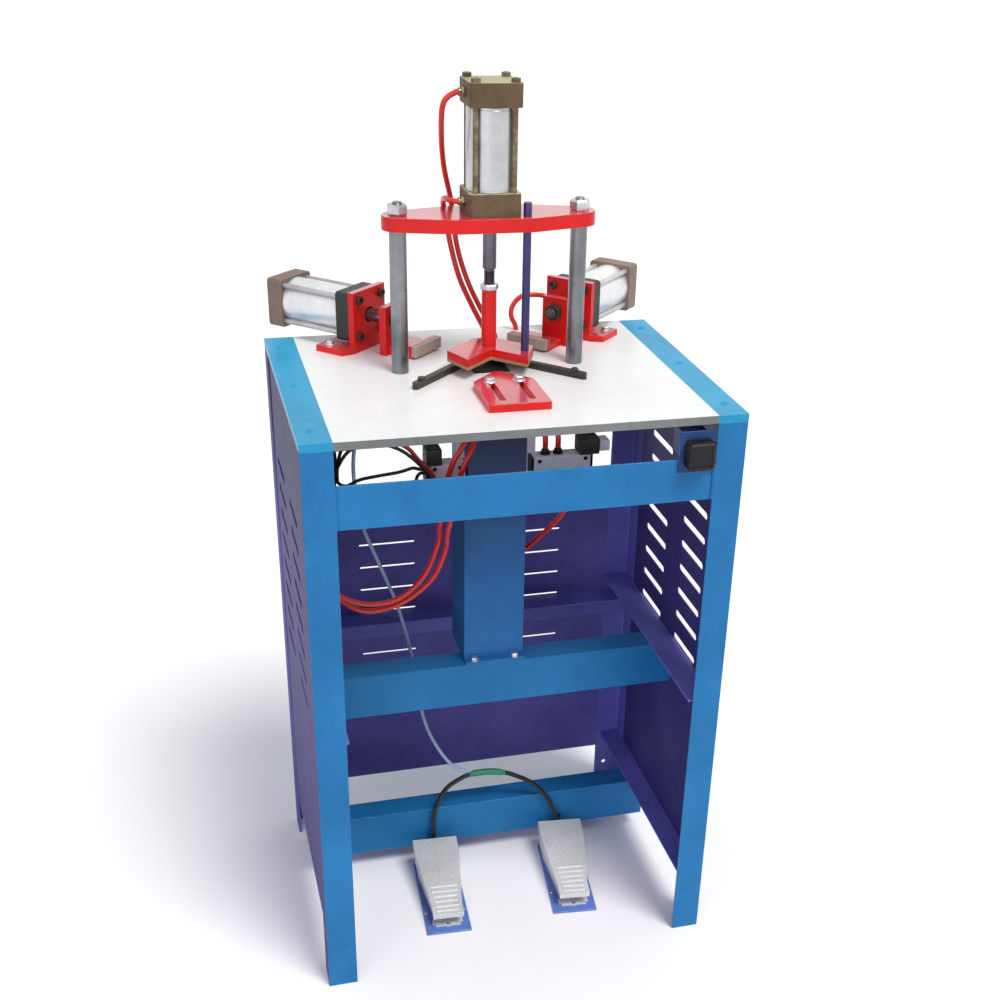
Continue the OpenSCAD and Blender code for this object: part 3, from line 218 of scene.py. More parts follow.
# Materials
def tint(red, green, blue):
    def linear(value):
        value /= 255
        return value / 12.92 if value <= 0.04045 else ((value + 0.055) / 1.055) ** 2.4
    return (linear(red), linear(green), linear(blue), 1)


class Nodes:
    # short names for the nodes of one material
    def __init__(self, name):
        self.material = bpy.data.materials.new(name)
        self.material.use_nodes = True
        self.tree = self.material.node_tree
        self.shader = next(n for n in self.tree.nodes if n.type == "BSDF_PRINCIPLED")
        self.place = self.add("ShaderNodeTexCoord").outputs["Object"]
        split = self.add("ShaderNodeSeparateXYZ")
        self.link(self.place, split.inputs["Vector"])
        self.height = split.outputs["Z"]

    def add(self, kind, **inputs):
        node = self.tree.nodes.new(kind)
        for key, value in inputs.items():
            node.inputs[key].default_value = value
        return node

    def link(self, output, target):
        self.tree.links.new(output, target)

    def noise(self, scale, detail=3.0, roughness=0.55, stretch=None):
        node = self.add("ShaderNodeTexNoise", Scale=scale, Detail=detail, Roughness=roughness)
        source = self.place
        if stretch:
            mapping = self.add("ShaderNodeMapping")
            mapping.inputs["Scale"].default_value = stretch
            self.link(source, mapping.inputs["Vector"])
            source = mapping.outputs["Vector"]
        self.link(source, node.inputs["Vector"])
        return node.outputs["Fac"]

    def attribute(self, name):
        node = self.add("ShaderNodeAttribute")
        node.attribute_name = name
        return node.outputs["Fac"]

    def operate(self, kind, first, second):
        node = self.add("ShaderNodeMath")
        node.operation = kind
        for k, value in enumerate((first, second)):
            if isinstance(value, (int, float)):
                node.inputs[k].default_value = value
            else:
                self.link(value, node.inputs[k])
        return node.outputs["Value"]

    def product(self, first, second):
        return self.operate("MULTIPLY", first, second)

    def sum(self, first, second):
        return self.operate("ADD", first, second)

    def times(self, colour, value):
        node = self.add("ShaderNodeVectorMath")
        node.operation = "SCALE"
        self.link(colour, node.inputs[0])
        self.link(value, node.inputs["Scale"])
        return node.outputs["Vector"]

    def blend(self, fac, colour, other):
        node = self.add("ShaderNodeMix")
        node.data_type = "RGBA"
        sockets = [socket for socket in node.inputs if socket.type == "RGBA"]
        self.link(fac, node.inputs[0])
        self.link(colour, sockets[0])
        sockets[1].default_value = other
        return next(socket for socket in node.outputs if socket.type == "RGBA")

    def ramp(self, fac, low, high, start, end):
        node = self.add("ShaderNodeValToRGB")
        node.color_ramp.elements[0].position = start
        node.color_ramp.elements[1].position = end
        node.color_ramp.elements[0].color = low
        node.color_ramp.elements[1].color = high
        self.link(fac, node.inputs["Fac"])
        return node.outputs["Color"]

    def between(self, fac, low, high, start=0.3, end=0.7):
        node = self.add("ShaderNodeMapRange")
        node.inputs["From Min"].default_value = start
        node.inputs["From Max"].default_value = end
        node.inputs["To Min"].default_value = low
        node.inputs["To Max"].default_value = high
        self.link(fac, node.inputs["Value"])
        return node.outputs["Result"]

    def bump(self, height, distance, strength=1.0, under=None):
        node = self.add("ShaderNodeBump", Strength=strength, Distance=distance)
        self.link(height, node.inputs["Height"])
        if under is not None:
            self.link(under, node.inputs["Normal"])
        return node.outputs["Normal"]


def finish(name, facts):
    nodes = Nodes(name)
    shader = nodes.shader
    broad = nodes.noise(7, 4)
    colour = nodes.ramp(broad, tint(*facts["dark"]), tint(*facts["light"]), 0.32, 0.68)
    # small mottling over the broad patches
    uneven = facts.get("uneven", 0.07)
    mottle = nodes.between(nodes.noise(facts.get("mottle", 70), 5, 0.62), 1 - uneven, 1 + uneven)
    colour = nodes.times(colour, mottle)
    if "shade" in facts:
        # painted shade: darker towards the table, where less light comes in
        start, end, deep = facts["shade"]
        colour = nodes.blend(nodes.between(nodes.height, 0, 1, start, end), colour, tint(*deep))
    low, high = facts["rough"]
    fine = nodes.noise(facts.get("grain", 400), 3, 0.6, facts.get("stretch"))
    rough = nodes.between(fine, low, high)
    if "wearAndHighlight" in facts:
        # the edges that hands and tools rub carry a broken lighter line, partly wear and partly a painted edge
        # highlight
        rubbedAndLit = nodes.product(nodes.attribute("edge"),
            nodes.between(nodes.noise(55, 6, 0.7), 0, 1, 0.46, 0.62))
        colour = nodes.blend(rubbedAndLit, colour, tint(*facts["wearAndHighlight"]))
        rough = nodes.sum(rough, nodes.product(rubbedAndLit, 0.15))
    nodes.link(colour, shader.inputs["Base Color"])
    nodes.link(rough, shader.inputs["Roughness"])
    shader.inputs["Metallic"].default_value = facts.get("metal", 0)
    shader.inputs["Specular IOR Level"].default_value = facts.get("shine", 0.5)
    if "coat" in facts:
        shader.inputs["Coat Weight"].default_value = facts["coat"]
        shader.inputs["Coat Roughness"].default_value = 0.12
    height = nodes.bump(fine, facts.get("depth", 0.00004), facts.get("bump", 0.5))
    if "wavy" in facts:
        height = nodes.bump(nodes.noise(14, 2), facts["wavy"], 0.4, height)
    nodes.link(height, shader.inputs["Normal"])
    return nodes.material


flatEnamel = {"grain": 650, "depth": 0.00006, "wavy": 0.0004, "uneven": 0.05}
# colours are (red, green, blue) to 255, and a shade is (from height, to height, colour)
# the edge colour in each finish draws a lighter line on bevels, partly wear and partly a painted highlight
finishFacts = {
    "blueEnamel": {"dark": (28, 112, 166), "light": (38, 126, 184), "rough": (0.36, 0.5), "shine": 0.25,
        **flatEnamel, "wearAndHighlight": (84, 140, 178)},
    # painted light: a paler cyan copy of the blue enamel for the table strips, whose tops catch the most light
    "stripEnamelPaintedLight": {"dark": (20, 142, 186), "light": (34, 164, 206), "rough": (0.3, 0.44), "shine": 0.4,
        **flatEnamel, "wearAndHighlight": (110, 178, 204)},
    # painted shade: the blue enamel as a dark violet for the panels and the faces that look left, darkening
    # towards the table
    "panelEnamelPaintedShade": {"dark": (62, 58, 114), "light": (76, 71, 132), "rough": (0.44, 0.6), "shine": 0.12,
        "grain": 650, "depth": 0.00006, "wavy": 0.0008, "wearAndHighlight": (108, 106, 170),
        "shade": (0.62, 0.96, (58, 55, 84))},
    # painted shade: the blue enamel as a violet for the irons inside the cabinet, darkening towards the table
    "innerEnamelPaintedShade": {"dark": (104, 106, 186), "light": (122, 124, 206), "rough": (0.36, 0.5), "shine": 0.2,
        "grain": 650, "depth": 0.00006, "wearAndHighlight": (120, 130, 200), "shade": (0.6, 0.9, (48, 46, 66))},
    "plateEnamel": {"dark": (86, 118, 190), "light": (108, 142, 212), "rough": (0.3, 0.44), "grain": 500,
        "wearAndHighlight": (150, 170, 215)},
    "whiteEnamel": {"dark": (230, 234, 232), "light": (241, 244, 241), "rough": (0.26, 0.36), "grain": 500,
        "uneven": 0.015, "wearAndHighlight": (205, 208, 208)},
    "tableEdge": {"dark": (103, 110, 107), "light": (124, 131, 128), "rough": (0.4, 0.55), "grain": 500},
    "redEnamel": {"dark": (206, 20, 18), "light": (226, 30, 26), "rough": (0.3, 0.42), "shine": 0.3,
        "coat": 0.1, "grain": 600, "depth": 0.00006, "uneven": 0.04, "wearAndHighlight": (232, 96, 84)},
    # painted sheen: a pinker, glossier copy of the red paint for faces that look up
    "redTopPaintedSheen": {"dark": (188, 40, 56), "light": (212, 60, 78), "rough": (0.2, 0.3), "coat": 1.0, "grain": 600,
        "depth": 0.00005, "uneven": 0.03, "wearAndHighlight": (226, 110, 110)},
    "zinc": {"dark": (176, 178, 182), "light": (226, 228, 230), "metal": 0.9, "rough": (0.24, 0.4),
        "grain": 900, "uneven": 0.1},
    "jawBarrel": {"dark": (216, 220, 218), "light": (240, 242, 240), "metal": 0.55, "rough": (0.28, 0.4),
        "grain": 500},
    # painted shade: the column's blue, darkening to a dull violet towards the table
    "columnEnamelPaintedShade": {"dark": (36, 106, 166), "light": (48, 122, 182), "rough": (0.36, 0.5), "shine": 0.2,
        **flatEnamel, "wearAndHighlight": (84, 130, 178), "shade": (0.58, 0.86, (50, 46, 78))},
    # painted shade: the back panel's blue as a violet, darkening towards the table
    "backEnamelPaintedShade": {"dark": (98, 96, 168), "light": (118, 114, 190), "rough": (0.42, 0.58), "shine": 0.15,
        "grain": 650, "depth": 0.00006, "wavy": 0.0008, "wearAndHighlight": (120, 118, 180),
        "shade": (0.5, 0.9, (66, 62, 86))},
    # painted shade: a darkened copy of the blue enamel for the regulator
    "shadeEnamel": {"dark": (38, 66, 108), "light": (50, 82, 128), "rough": (0.36, 0.5), "shine": 0.2,
        "grain": 650, "wearAndHighlight": (84, 110, 150)},
    "tieSteel": {"dark": (168, 168, 166), "light": (214, 214, 210), "metal": 0.5, "rough": (0.3, 0.42),
        "grain": 700},
    "darkSteel": {"dark": (48, 44, 40), "light": (78, 72, 64), "metal": 0.5, "rough": (0.32, 0.48),
        "grain": 700},
    "blackSteel": {"dark": (30, 29, 25), "light": (54, 52, 45), "rough": (0.38, 0.55), "grain": 500,
        "wearAndHighlight": (96, 92, 82)},
    "bluedSteel": {"dark": (58, 50, 100), "light": (84, 76, 128), "metal": 0.5, "rough": (0.28, 0.42),
        "grain": 600},
    "rodSteel": {"dark": (90, 84, 94), "light": (124, 118, 128), "metal": 0.85, "rough": (0.2, 0.3),
        "grain": 700},
    "postSteel": {"dark": (104, 107, 110), "light": (146, 149, 152), "metal": 0.9, "rough": (0.24, 0.36),
        "grain": 500, "uneven": 0.1},
    "oliveCasting": {"dark": (86, 71, 49), "light": (113, 95, 71), "metal": 0.1, "rough": (0.5, 0.65),
        "shine": 0.3, "grain": 700, "depth": 0.00012, "uneven": 0.14, "wearAndHighlight": (150, 138, 108)},
    # painted highlight: a much paler copy of the olive casting for faces that look up
    "oliveTopPaintedHighlight": {"dark": (160, 156, 116), "light": (196, 192, 152), "metal": 0.1, "rough": (0.45, 0.62),
        "grain": 700, "depth": 0.00012, "uneven": 0.1, "wearAndHighlight": (206, 200, 170)},
    "brownCasting": {"dark": (114, 96, 82), "light": (146, 126, 110), "metal": 0.15, "rough": (0.42, 0.58),
        "grain": 700, "depth": 0.00012, "uneven": 0.12, "wearAndHighlight": (170, 158, 150)},
    "blackCasting": {"dark": (26, 28, 26), "light": (46, 48, 44), "metal": 0.1, "rough": (0.4, 0.55),
        "grain": 700, "depth": 0.00012, "wearAndHighlight": (90, 90, 84)},
    "barrelAlloy": {"dark": (170, 174, 174), "light": (204, 207, 206), "metal": 0.85, "rough": (0.26, 0.38),
        "grain": 500, "stretch": (1, 1, 0.04)},
    "valveAlloy": {"dark": (226, 228, 228), "light": (246, 247, 247), "metal": 0.05, "rough": (0.3, 0.42),
        "grain": 500, "wearAndHighlight": (250, 250, 250)},
    "brass": {"dark": (120, 104, 70), "light": (168, 150, 108), "metal": 0.8, "rough": (0.3, 0.42),
        "grain": 600},
    "hammeredAlloy": {"dark": (198, 202, 200), "light": (234, 236, 232), "metal": 0.15, "rough": (0.32, 0.46),
        "grain": 260, "mottle": 240, "uneven": 0.12, "depth": 0.0005, "bump": 0.6, "wearAndHighlight": (236, 236, 232)},
    "padGrey": {"dark": (158, 146, 134), "light": (188, 176, 164), "metal": 0.2, "rough": (0.42, 0.58),
        "grain": 500, "wearAndHighlight": (190, 182, 170)},
    "tanPad": {"dark": (160, 124, 84), "light": (192, 156, 112), "rough": (0.6, 0.75), "grain": 600,
        "uneven": 0.12},
    "blackPlastic": {"dark": (14, 14, 15), "light": (26, 26, 27), "rough": (0.4, 0.55), "shine": 0.3,
        "grain": 800},
    "coilBlack": {"dark": (34, 34, 28), "light": (58, 56, 46), "rough": (0.4, 0.55), "grain": 500,
        "wearAndHighlight": (84, 82, 70)},
    "redHose": {"dark": (206, 36, 26), "light": (232, 52, 38), "rough": (0.25, 0.38), "grain": 300,
        "uneven": 0.04},
    "paleCable": {"dark": (150, 176, 204), "light": (174, 198, 220), "rough": (0.45, 0.6), "grain": 500},
    "blackCable": {"dark": (14, 14, 15), "light": (30, 30, 32), "rough": (0.45, 0.6), "grain": 500},
    "greenSleeve": {"dark": (34, 124, 92), "light": (58, 152, 120), "rough": (0.4, 0.55), "grain": 500},
}
finishes = {name: finish(name, facts) for name, facts in finishFacts.items()}
# what the fence, stop and press's plates wear
slotFinish = {
    "black_steel": "blackSteel", "red_enamel": "redEnamel", "tan_pad": "tanPad", "blued_steel": "bluedSteel",
}
print("finishes made:", len(finishes))


# Hoses and cables
def placed(at, route):
    # a stretch of a route: a place in metres, and points from it in millimetres
    return [Vector(at) + Vector(point) / 1000 for point in route]


shortStretch = 0.014


def along(route):
    # the smooth curve that the part's tubes follow
    points = []
    for i in range(len(route) - 1):
        a, b, c, d = (route[max(i - 1, 0)], route[i], route[i + 1], route[min(i + 2, len(route) - 1)])
        steps = 1 if (c - b).length < shortStretch else 4
        for k in range(steps):
            t = k / steps
            bend, twist = 2 * a - 5 * b + 4 * c - d, 3 * b - a - 3 * c + d
            points.append(0.5 * (2 * b + (c - a) * t + bend * t ** 2 + twist * t ** 3))
    return points + [route[-1]]


capWide = 0.075
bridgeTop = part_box("bridge_plate")[1].z
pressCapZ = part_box("press_rear_cap")[1].z - 0.006 - 0.032
valveBottom, valveTop = 0.828, 0.858
portX = (-0.094, -0.080, 0.036, 0.092)
riserX = (0.041, 0.060)
riserY = 0.0825
valveY = 0.070
manifoldAt = (-0.306, 0.090, 0.890)
terminalAt = (-0.240, 0.130, 0.896)
driverLowZ = 0.608
jawPortU = 0.2083 + 0.013
jawPortV = -0.0267 + capWide / 2 + 0.0003
jawPort = ((jawPortU - jawPortV) / math.sqrt(2), pressY + (jawPortU + jawPortV) / math.sqrt(2), 0.983)
jointRoute = [Vector((-0.024, 0.276, 0.179)), Vector((0.008, 0.276, 0.180)), Vector((0.040, 0.276, 0.173))]
pedalLong = 0.193
pedals = {
    "left": {"at": (-0.102, 0.078), "turn": -3.5},
    "right": {"at": (0.120, 0.079), "turn": -6.5},
}


def glandEnd(side):
    facts = pedals[side]
    angle = math.radians(facts["turn"])
    return Vector((facts["at"][0] - pedalLong * math.sin(angle), facts["at"][1] + pedalLong * math.cos(angle),
        0.042))


airHose = {"node": "air_hoses", "finish": "redHose", "stiff": "medium"}
thinWire = {"node": "wiring", "wide": 0.005, "finish": "blackCable", "stiff": "limp"}
pedalLead = {"node": "pedal_leads", "wide": 0.008, "finish": "blackCable", "stiff": "medium"}
cordFacts = {
    "press_hose": {
        **airHose, "wide": 0.008,
        "route": placed((-0.0375, pressY, pressCapZ),
            [(-0.3, 0, 16), (-11, 0, 16), (-28.5, 4, 1), (-28.5, 20, -41)])
        + placed((0, pressY, tableTop), [
            (-56, 52, 284), (-42, 68, 230), (-34, 70, 170), (-20, 68, 120), (0, 71, 76),
            (21, 79, 40), (30, 83, 18), (30, 83, -12), (32, 79, -27), (42, 62, -33),
            (55, 36, -33), (55, 0, -31)])
        + placed((riserX[0], riserY, valveTop), [(12, 90, 43), (4, 40, 44), (0, 12, 38), (0, 1, 24),
            (0, 0, 8.3)]),
    },
    "press_low_hose": {
        **airHose, "wide": 0.008,
        "route": placed((-0.0375, pressY, bridgeTop), [
            (-0.3, 0, 16), (-10, 0, 16), (-19, 8, 16), (-22, 28, 15), (-20, 52, 6), (-17, 56, -10)])
        + placed((0, pressY, tableTop), [
            (-45, 60, 170), (-31, 64, 120), (-11, 69, 76), (8, 77, 40), (18, 81, 18),
            (18, 81, -12), (17, 81, -32), (8, 81, -44), (-12, 78, -45), (-40, 62, -41),
            (-60, 34, -35), (-62, -4, -32), (-60, -60, -31)])
        + placed((0, valveY, frameTop), [
            (-56, 42, -19), (-60, 14, -22), (-70, -6, -36), (-84, -14, -60), (-94, -12, -92),
            (-97, 2, -138), (-96, 42, -188), (-91, 82, -234), (-110, 96, -288), (-160, 102, -328),
            (-222, 100, -330)])
        + placed(manifoldAt, [(36, 82, -250), (20, 74, -150), (26, 66, -50), (28, 64, -10), (28, 64, -0.3)]),
    },
    "right_jaw_hose": {
        **airHose, "wide": 0.008,
        "route": placed(jawPort, [
            (0, 0, 0), (-6.5, 6.5, 0), (-27, 18, 1), (-51, 19, -1), (-66, 17, -15),
            (-69, 13, -31), (-62, 12, -47), (-61, 12, -65)])
        + placed((0, pressY, tableTop), [(88, 174, -28), (84, 154, -34), (74, 116, -31), (67, 36, -28)])
        + placed((riserX[1], riserY, valveTop), [(5, 110, 43), (2, 40, 44), (0, 12, 38), (0, 1, 24),
            (0, 0, 8.3)]),
    },
    "left_jaw_hose": {
        **airHose, "wide": 0.008,
        "route": placed((-jawPort[0], jawPort[1], jawPort[2]), [
            (0, 0, 0), (6.5, 6.5, 0), (17, 14, -7), (21, 16, -25), (21, 16, -47), (21, 16, -65)])
        + placed((0, pressY, tableTop), [(-127, 176, -28), (-118, 150, -34), (-96, 66, -29), (-74, -64, -25)])
        + placed((0, valveY, frameTop), [
            (-66, 44, -10), (-70, 12, -13), (-82, -8, -28), (-98, -12, -52), (-108, -10, -88),
            (-111, 0, -128), (-108, 40, -173), (-102, 80, -218), (-124, 88, -278), (-168, 90, -314),
            (-226, 90, -312)])
        + placed(manifoldAt, [(34, 62, -240), (20, 50, -150), (26, 32, -50), (28, 30, -10), (28, 30, -0.3)]),
    },
    "feed_hose": {
        **airHose, "wide": 0.006,
        "route": placed(manifoldAt, [
            (44, -0.3, 12), (46, -10, 12), (66, -24, 15), (106, -28, 15), (141, -28, 3),
            (160, -28, -19), (179, -28, -42)])
        + placed((portX[0], riserY, valveBottom - 0.008), [
            (-25, -20, 4), (-16, -15, -14), (-5, -4, -20), (0, 0, -10), (0, 0, -0.3)]),
    },
    "link_hose": {
        **airHose, "wide": 0.006,
        "route": placed((portX[1], riserY, valveBottom - 0.008),
            [(0, 0, -0.3), (0, 0, -9), (9, 2, -22), (50, 5, -28)])
        + placed((portX[2], riserY, valveBottom - 0.008),
            [(-40, 5, -28), (-8, 2, -20), (0, 0, -9), (0, 0, -0.3)]),
    },
    "driver_hose": {
        **airHose, "wide": 0.008,
        "route": placed((portX[3], riserY, valveBottom - 0.008), [(0, 0, -0.3), (0, 1, -8), (6, 38, -50)])
        + placed((capWide / 2, pressY, driverLowZ), [
            (60, -84, 104), (48, -38, 56), (30, -16, 24), (18, -14, 16), (0.3, -14, 16)]),
    },
    "coil_wire": {
        **thinWire,
        "route": placed((-0.134, valveY, valveBottom), [
            (-0.3, 6, 23), (-7, 6, 23), (-16, 11, 24), (-36, 14, 18), (-63, 14, 15),
            (-91, 14, 11), (-110, 17, 2)])
        + placed(terminalAt, [(-14, -34, -64), (-12, -26, -38), (-2, -22, -10), (10, -14, 6), (14, -8, 11),
            (14, -0.3, 11)]),
    },
    "valve_wire": {
        **thinWire,
        "route": placed((-0.134, valveY, valveBottom), [
            (-0.3, 18, 12), (-6, 18, 12), (-12, 14, 4), (-11, 8, -8), (-2, -8, -14),
            (5, -17, 2), (-1, -18, 25), (-26, -18, 54), (-51, -18, 70), (-80, -17, 75),
            (-109, -17, 67), (-128, -16, 38), (-135, -8, 8)])
        + placed(terminalAt, [
            (-26, -46, -78), (-18, -22, -74), (-12, 4, -46), (-14, 16, -16), (-14, 20, 2),
            (-8, 20, 11), (-0.3, 20, 11)]),
    },
    "pale_cable": {
        "node": "pedal_cable", "wide": 0.006, "finish": "paleCable", "stiff": "limp",
        "route": list(reversed(placed(jointRoute[0], [
            (-1.5, 0, 6.8), (-10, 1, 9), (-36, 4, 29), (-64, 8, 79), (-82, 12, 139),
            (-96, 16, 245), (-118, 18, 341), (-142, 14, 411)])
            + placed((terminalAt[0] + 0.020, terminalAt[1] + 0.020, terminalAt[2]), [
                (20, 118, -206), (2, 50, -96), (0, 2, -20), (0, 0, -9), (0, 0, -0.3)]))),
    },
    "left_lead": {
        **pedalLead,
        "route": placed(glandEnd("left"), [(0, 0, 0.3), (0, 0, 10), (3, 3, 68), (23, 4, 113), (56, 5, 134)])
        + [jointRoute[0] - Vector((0.0008, 0, 0.0003))],
    },
    "right_lead": {
        **pedalLead,
        "route": placed(glandEnd("right"), [(0, 0, 0.3), (0, 0, 10), (-22, 3, 64), (-52, 4, 102),
            (-92, 5, 127)])
        + [jointRoute[2] + Vector((0.0008, 0, -0.0003))],
    },
}


def addCord(name, facts):
    points = [bench(*point) for point in along(facts["route"])]
    data = bpy.data.curves.new(name, "CURVE")
    data.dimensions = "3D"
    data.bevel_depth = facts["wide"] / 2
    data.bevel_resolution = 4
    data.resolution_u = 2
    data.use_fill_caps = True
    spline = data.splines.new("BEZIER")
    spline.bezier_points.add(len(points) - 1)
    for knot, point in zip(spline.bezier_points, points):
        knot.co = point
        knot.handle_left_type = knot.handle_right_type = "AUTO"
    obj = bpy.data.objects.new(name, data)
    bpy.context.collection.objects.link(obj)
    length = sum((b - a).length for a, b in zip(points, points[1:]))
    settle(obj, facts["finish"], facts["node"])
    return length


for cordName, cordFact in cordFacts.items():
    print("cord", cordName, round(addCord(cordName, cordFact), 3), "m")


# Pieces turned or cut from bar, as a maker would
def pickFaces(obj, test):
    # in edit mode, selects only the faces that pass the test
    bpy.ops.mesh.select_mode(type="FACE")
    bpy.ops.mesh.select_all(action="DESELECT")
    mesh = bmesh.from_edit_mesh(obj.data)
    for face in mesh.faces:
        face.select_set(test(face.calc_center_median(), face.normal))
    bmesh.update_edit_mesh(obj.data)


def turned(name, stations, sides=48):
    # stations are (radius, height) pairs, from the foot up along Z
    (firstR, firstZ), (secondR, secondZ) = stations[0], stations[1]
    bpy.ops.object.select_all(action="DESELECT")
    bpy.ops.mesh.primitive_cylinder_add(vertices=sides, radius=firstR, depth=secondZ - firstZ,
        location=(0, 0, 0))
    obj = bpy.context.active_object
    obj.name = name
    half = (secondZ - firstZ) / 2
    bpy.ops.object.mode_set(mode="EDIT")
    pickFaces(obj, lambda centre, normal: normal.z > 0.9 and centre.z > half * 0.99)
    if secondR != firstR:
        bpy.ops.transform.resize(value=(secondR / firstR, secondR / firstR, 1), center_override=(0, 0, half))
    lastR, lastZ = secondR, half
    for radius, height in stations[2:]:
        rise = height - firstZ - half - lastZ
        bpy.ops.mesh.extrude_region_move(TRANSFORM_OT_translate={"value": (0, 0, rise)})
        lastZ += rise
        if radius != lastR:
            bpy.ops.transform.resize(value=(radius / lastR, radius / lastR, 1), center_override=(0, 0, lastZ))
        lastR = radius
    bpy.ops.object.mode_set(mode="OBJECT")
    obj.data.transform(Matrix.Translation((0, 0, firstZ + half)))
    return obj


def block(name, low, high, soft=0.001, segments=2):
    bpy.ops.object.select_all(action="DESELECT")
    size = [high[i] - low[i] for i in range(3)]
    middle = [(high[i] + low[i]) / 2 for i in range(3)]
    bpy.ops.mesh.primitive_cube_add(size=1, location=middle)
    obj = bpy.context.active_object
    obj.name = name
    obj.scale = size
    bakePlace(obj)
    if soft:
        bpy.ops.object.mode_set(mode="EDIT")
        bpy.ops.mesh.select_all(action="SELECT")
        bpy.ops.mesh.bevel(offset=soft, segments=segments, affect="EDGES")
        bpy.ops.object.mode_set(mode="OBJECT")
    return obj


def joined(name, pieces):
    only(*pieces)
    if len(pieces) > 1:
        bpy.ops.object.join()
    obj = bpy.context.active_object
    obj.name = name
    return obj


def stood(obj, place, heading=(0, 0, 1), spin=0):
    # moves a piece made along Z to its place, with Z turned to the heading
    turn = Vector((0, 0, 1)).rotation_difference(Vector(heading)).to_matrix().to_4x4()
    obj.data.transform(Matrix.Translation(Vector(place)) @ turn @ Matrix.Rotation(math.radians(spin), 4, "Z"))
    return obj


def copied(obj, name):
    twin = obj.copy()
    twin.data = obj.data.copy()
    twin.name = name
    bpy.context.collection.objects.link(twin)
    return twin


def hexHead(name, across, height):
    # a hexagon with its corners chamfered at the top
    radius = across / 2 / math.cos(math.radians(30))
    stations = [(radius * 0.97, 0), (radius, height * 0.12), (radius, height * 0.78), (radius * 0.86, height)]
    return turned(name, stations, sides=6)


def hexStations(across, low, high):
    # a nut, chamfered at both faces
    radius = across / 2 / math.cos(math.radians(30))
    step = (high - low) * 0.18
    return [(radius * 0.88, low), (radius, low + step), (radius, high - step), (radius * 0.88, high)]


def threads(radius, depth, low, high, pitch):
    # the stations of a threaded stretch
    stations = []
    count = int((high - low) / pitch)
    for k in range(count):
        z = low + k * pitch
        stations += [(radius - depth, z), (radius, z + pitch * 0.5)]
    return stations + [(radius - depth, low + count * pitch)]


# Cabinet
cabinetFacts = {
    "edge": 0.0009,
    "sheetEdge": 0.0004,
    "weldX": (-0.2697, 0.2697),
    "weldY": 0.0030,
    "weldZ": (0.802, 0.865),
    "weldWide": 0.0022,
    "weldStep": 0.0042,
}


def inOpenLight(centre, normal):
    # faces that look back, or to the right on the outside
    return normal.y > 0.8 or (normal.x > 0.8 and centre.x > 0.28)


def addCabinet(facts):
    for node in bodyOf:
        if not (node.startswith("leg_") or "rail" in node or "panel" in node or node == "driver_column"):
            continue
        panel = "panel" in node
        look = cabinetLooks.get(node, "panelEnamelPaintedShade" if panel else "blueEnamel")
        soft = softNode(node, node + "_iron", facts["sheetEdge"] if panel else facts["edge"], look)
        # faces in open light get the plain blue, and the others keep their painted shade
        if look != "blueEnamel":
            paintFaces(soft, "blueEnamel", inOpenLight)
        # painted shade on the faces of the left legs that look left
        if node in ("leg_front_left", "leg_rear_left"):
            paintFaces(soft, "panelEnamelPaintedShade", lambda centre, normal: normal.x < -0.8)


# the column and back panel carry painted shade towards the table
cabinetLooks = {"driver_column": "columnEnamelPaintedShade", "back_panel": "backEnamelPaintedShade"}
# the inner irons and rear legs wear the violet painted shade of the inside
for stem in ("mid_side_rail", "bottom_side_rail", "upper_side_rail", "leg_rear"):
    for side in ("left", "right"):
        cabinetLooks[f"{stem}_{side}"] = "innerEnamelPaintedShade"
for node in ("mid_rear_rail", "upper_rear_rail"):
    cabinetLooks[node] = "innerEnamelPaintedShade"


def weldBead(name, start, end, facts, node):
    # a row of small overlapping ripples along a joint
    length = (end - start).length
    stations, z, k = [], 0, 0
    while z < length:
        swell = facts["weldWide"] * (1 + 0.14 * math.sin(k * 2.3))
        stations += [(swell * 0.8, z), (swell, z + facts["weldStep"] * 0.5)]
        z += facts["weldStep"]
        k += 1
    stations.append((facts["weldWide"] * 0.5, length))
    bead = turned(name, stations, sides=12)
    stood(bead, start, end - start)
    dress(bead, "blueEnamel", node, angle=60, replaced=False)


def addWelds(facts):
    # where the upper front rail meets the legs
    for k, x in enumerate(facts["weldX"]):
        low, high = (bench(x, facts["weldY"], z) for z in facts["weldZ"])
        weldBead(f"weld_upper_front_rail_{k}", low, high, facts, "upper_front_rail")


addCabinet(cabinetFacts)
addWelds(cabinetFacts)
print("cabinet made")


# Table
def onFrontEdge(centre, normal):
    # the bare front edge of the board
    return abs(normal.z) < 0.5 and abs(centre.y - benchFront) < 0.002


def addTable():
    top = softNode("table_top", "table_board", 0.0008, "whiteEnamel")
    paintFaces(top, "tableEdge", onFrontEdge)
    # the side strips in the paler, lit copy of the blue enamel
    softNode("table_strips", "table_side_strips", 0.0009, "stripEnamelPaintedLight")


addTable()

# Screws and bolts: each kind is modelled once and copied to its places
boltFacts = {
    # the strip screws wear the strips' paler, painted-light enamel
    "strip": {"across": 0.011, "high": 0.0015, "finish": "stripEnamelPaintedLight"},
    "fence": {"across": 0.010, "high": 0.005, "finish": "blackSteel"},
    "stop": {"across": 0.013, "high": 0.0055, "washer": 0.010, "washerHigh": 0.0015, "finish": "zinc"},
    "flange": {"across": 0.012, "high": 0.005, "washer": 0.0085, "washerHigh": 0.001, "finish": "zinc"},
    "column": {"across": 0.012, "high": 0.005, "washer": 0.0084, "washerHigh": 0.0008, "finish": "zinc"},
}


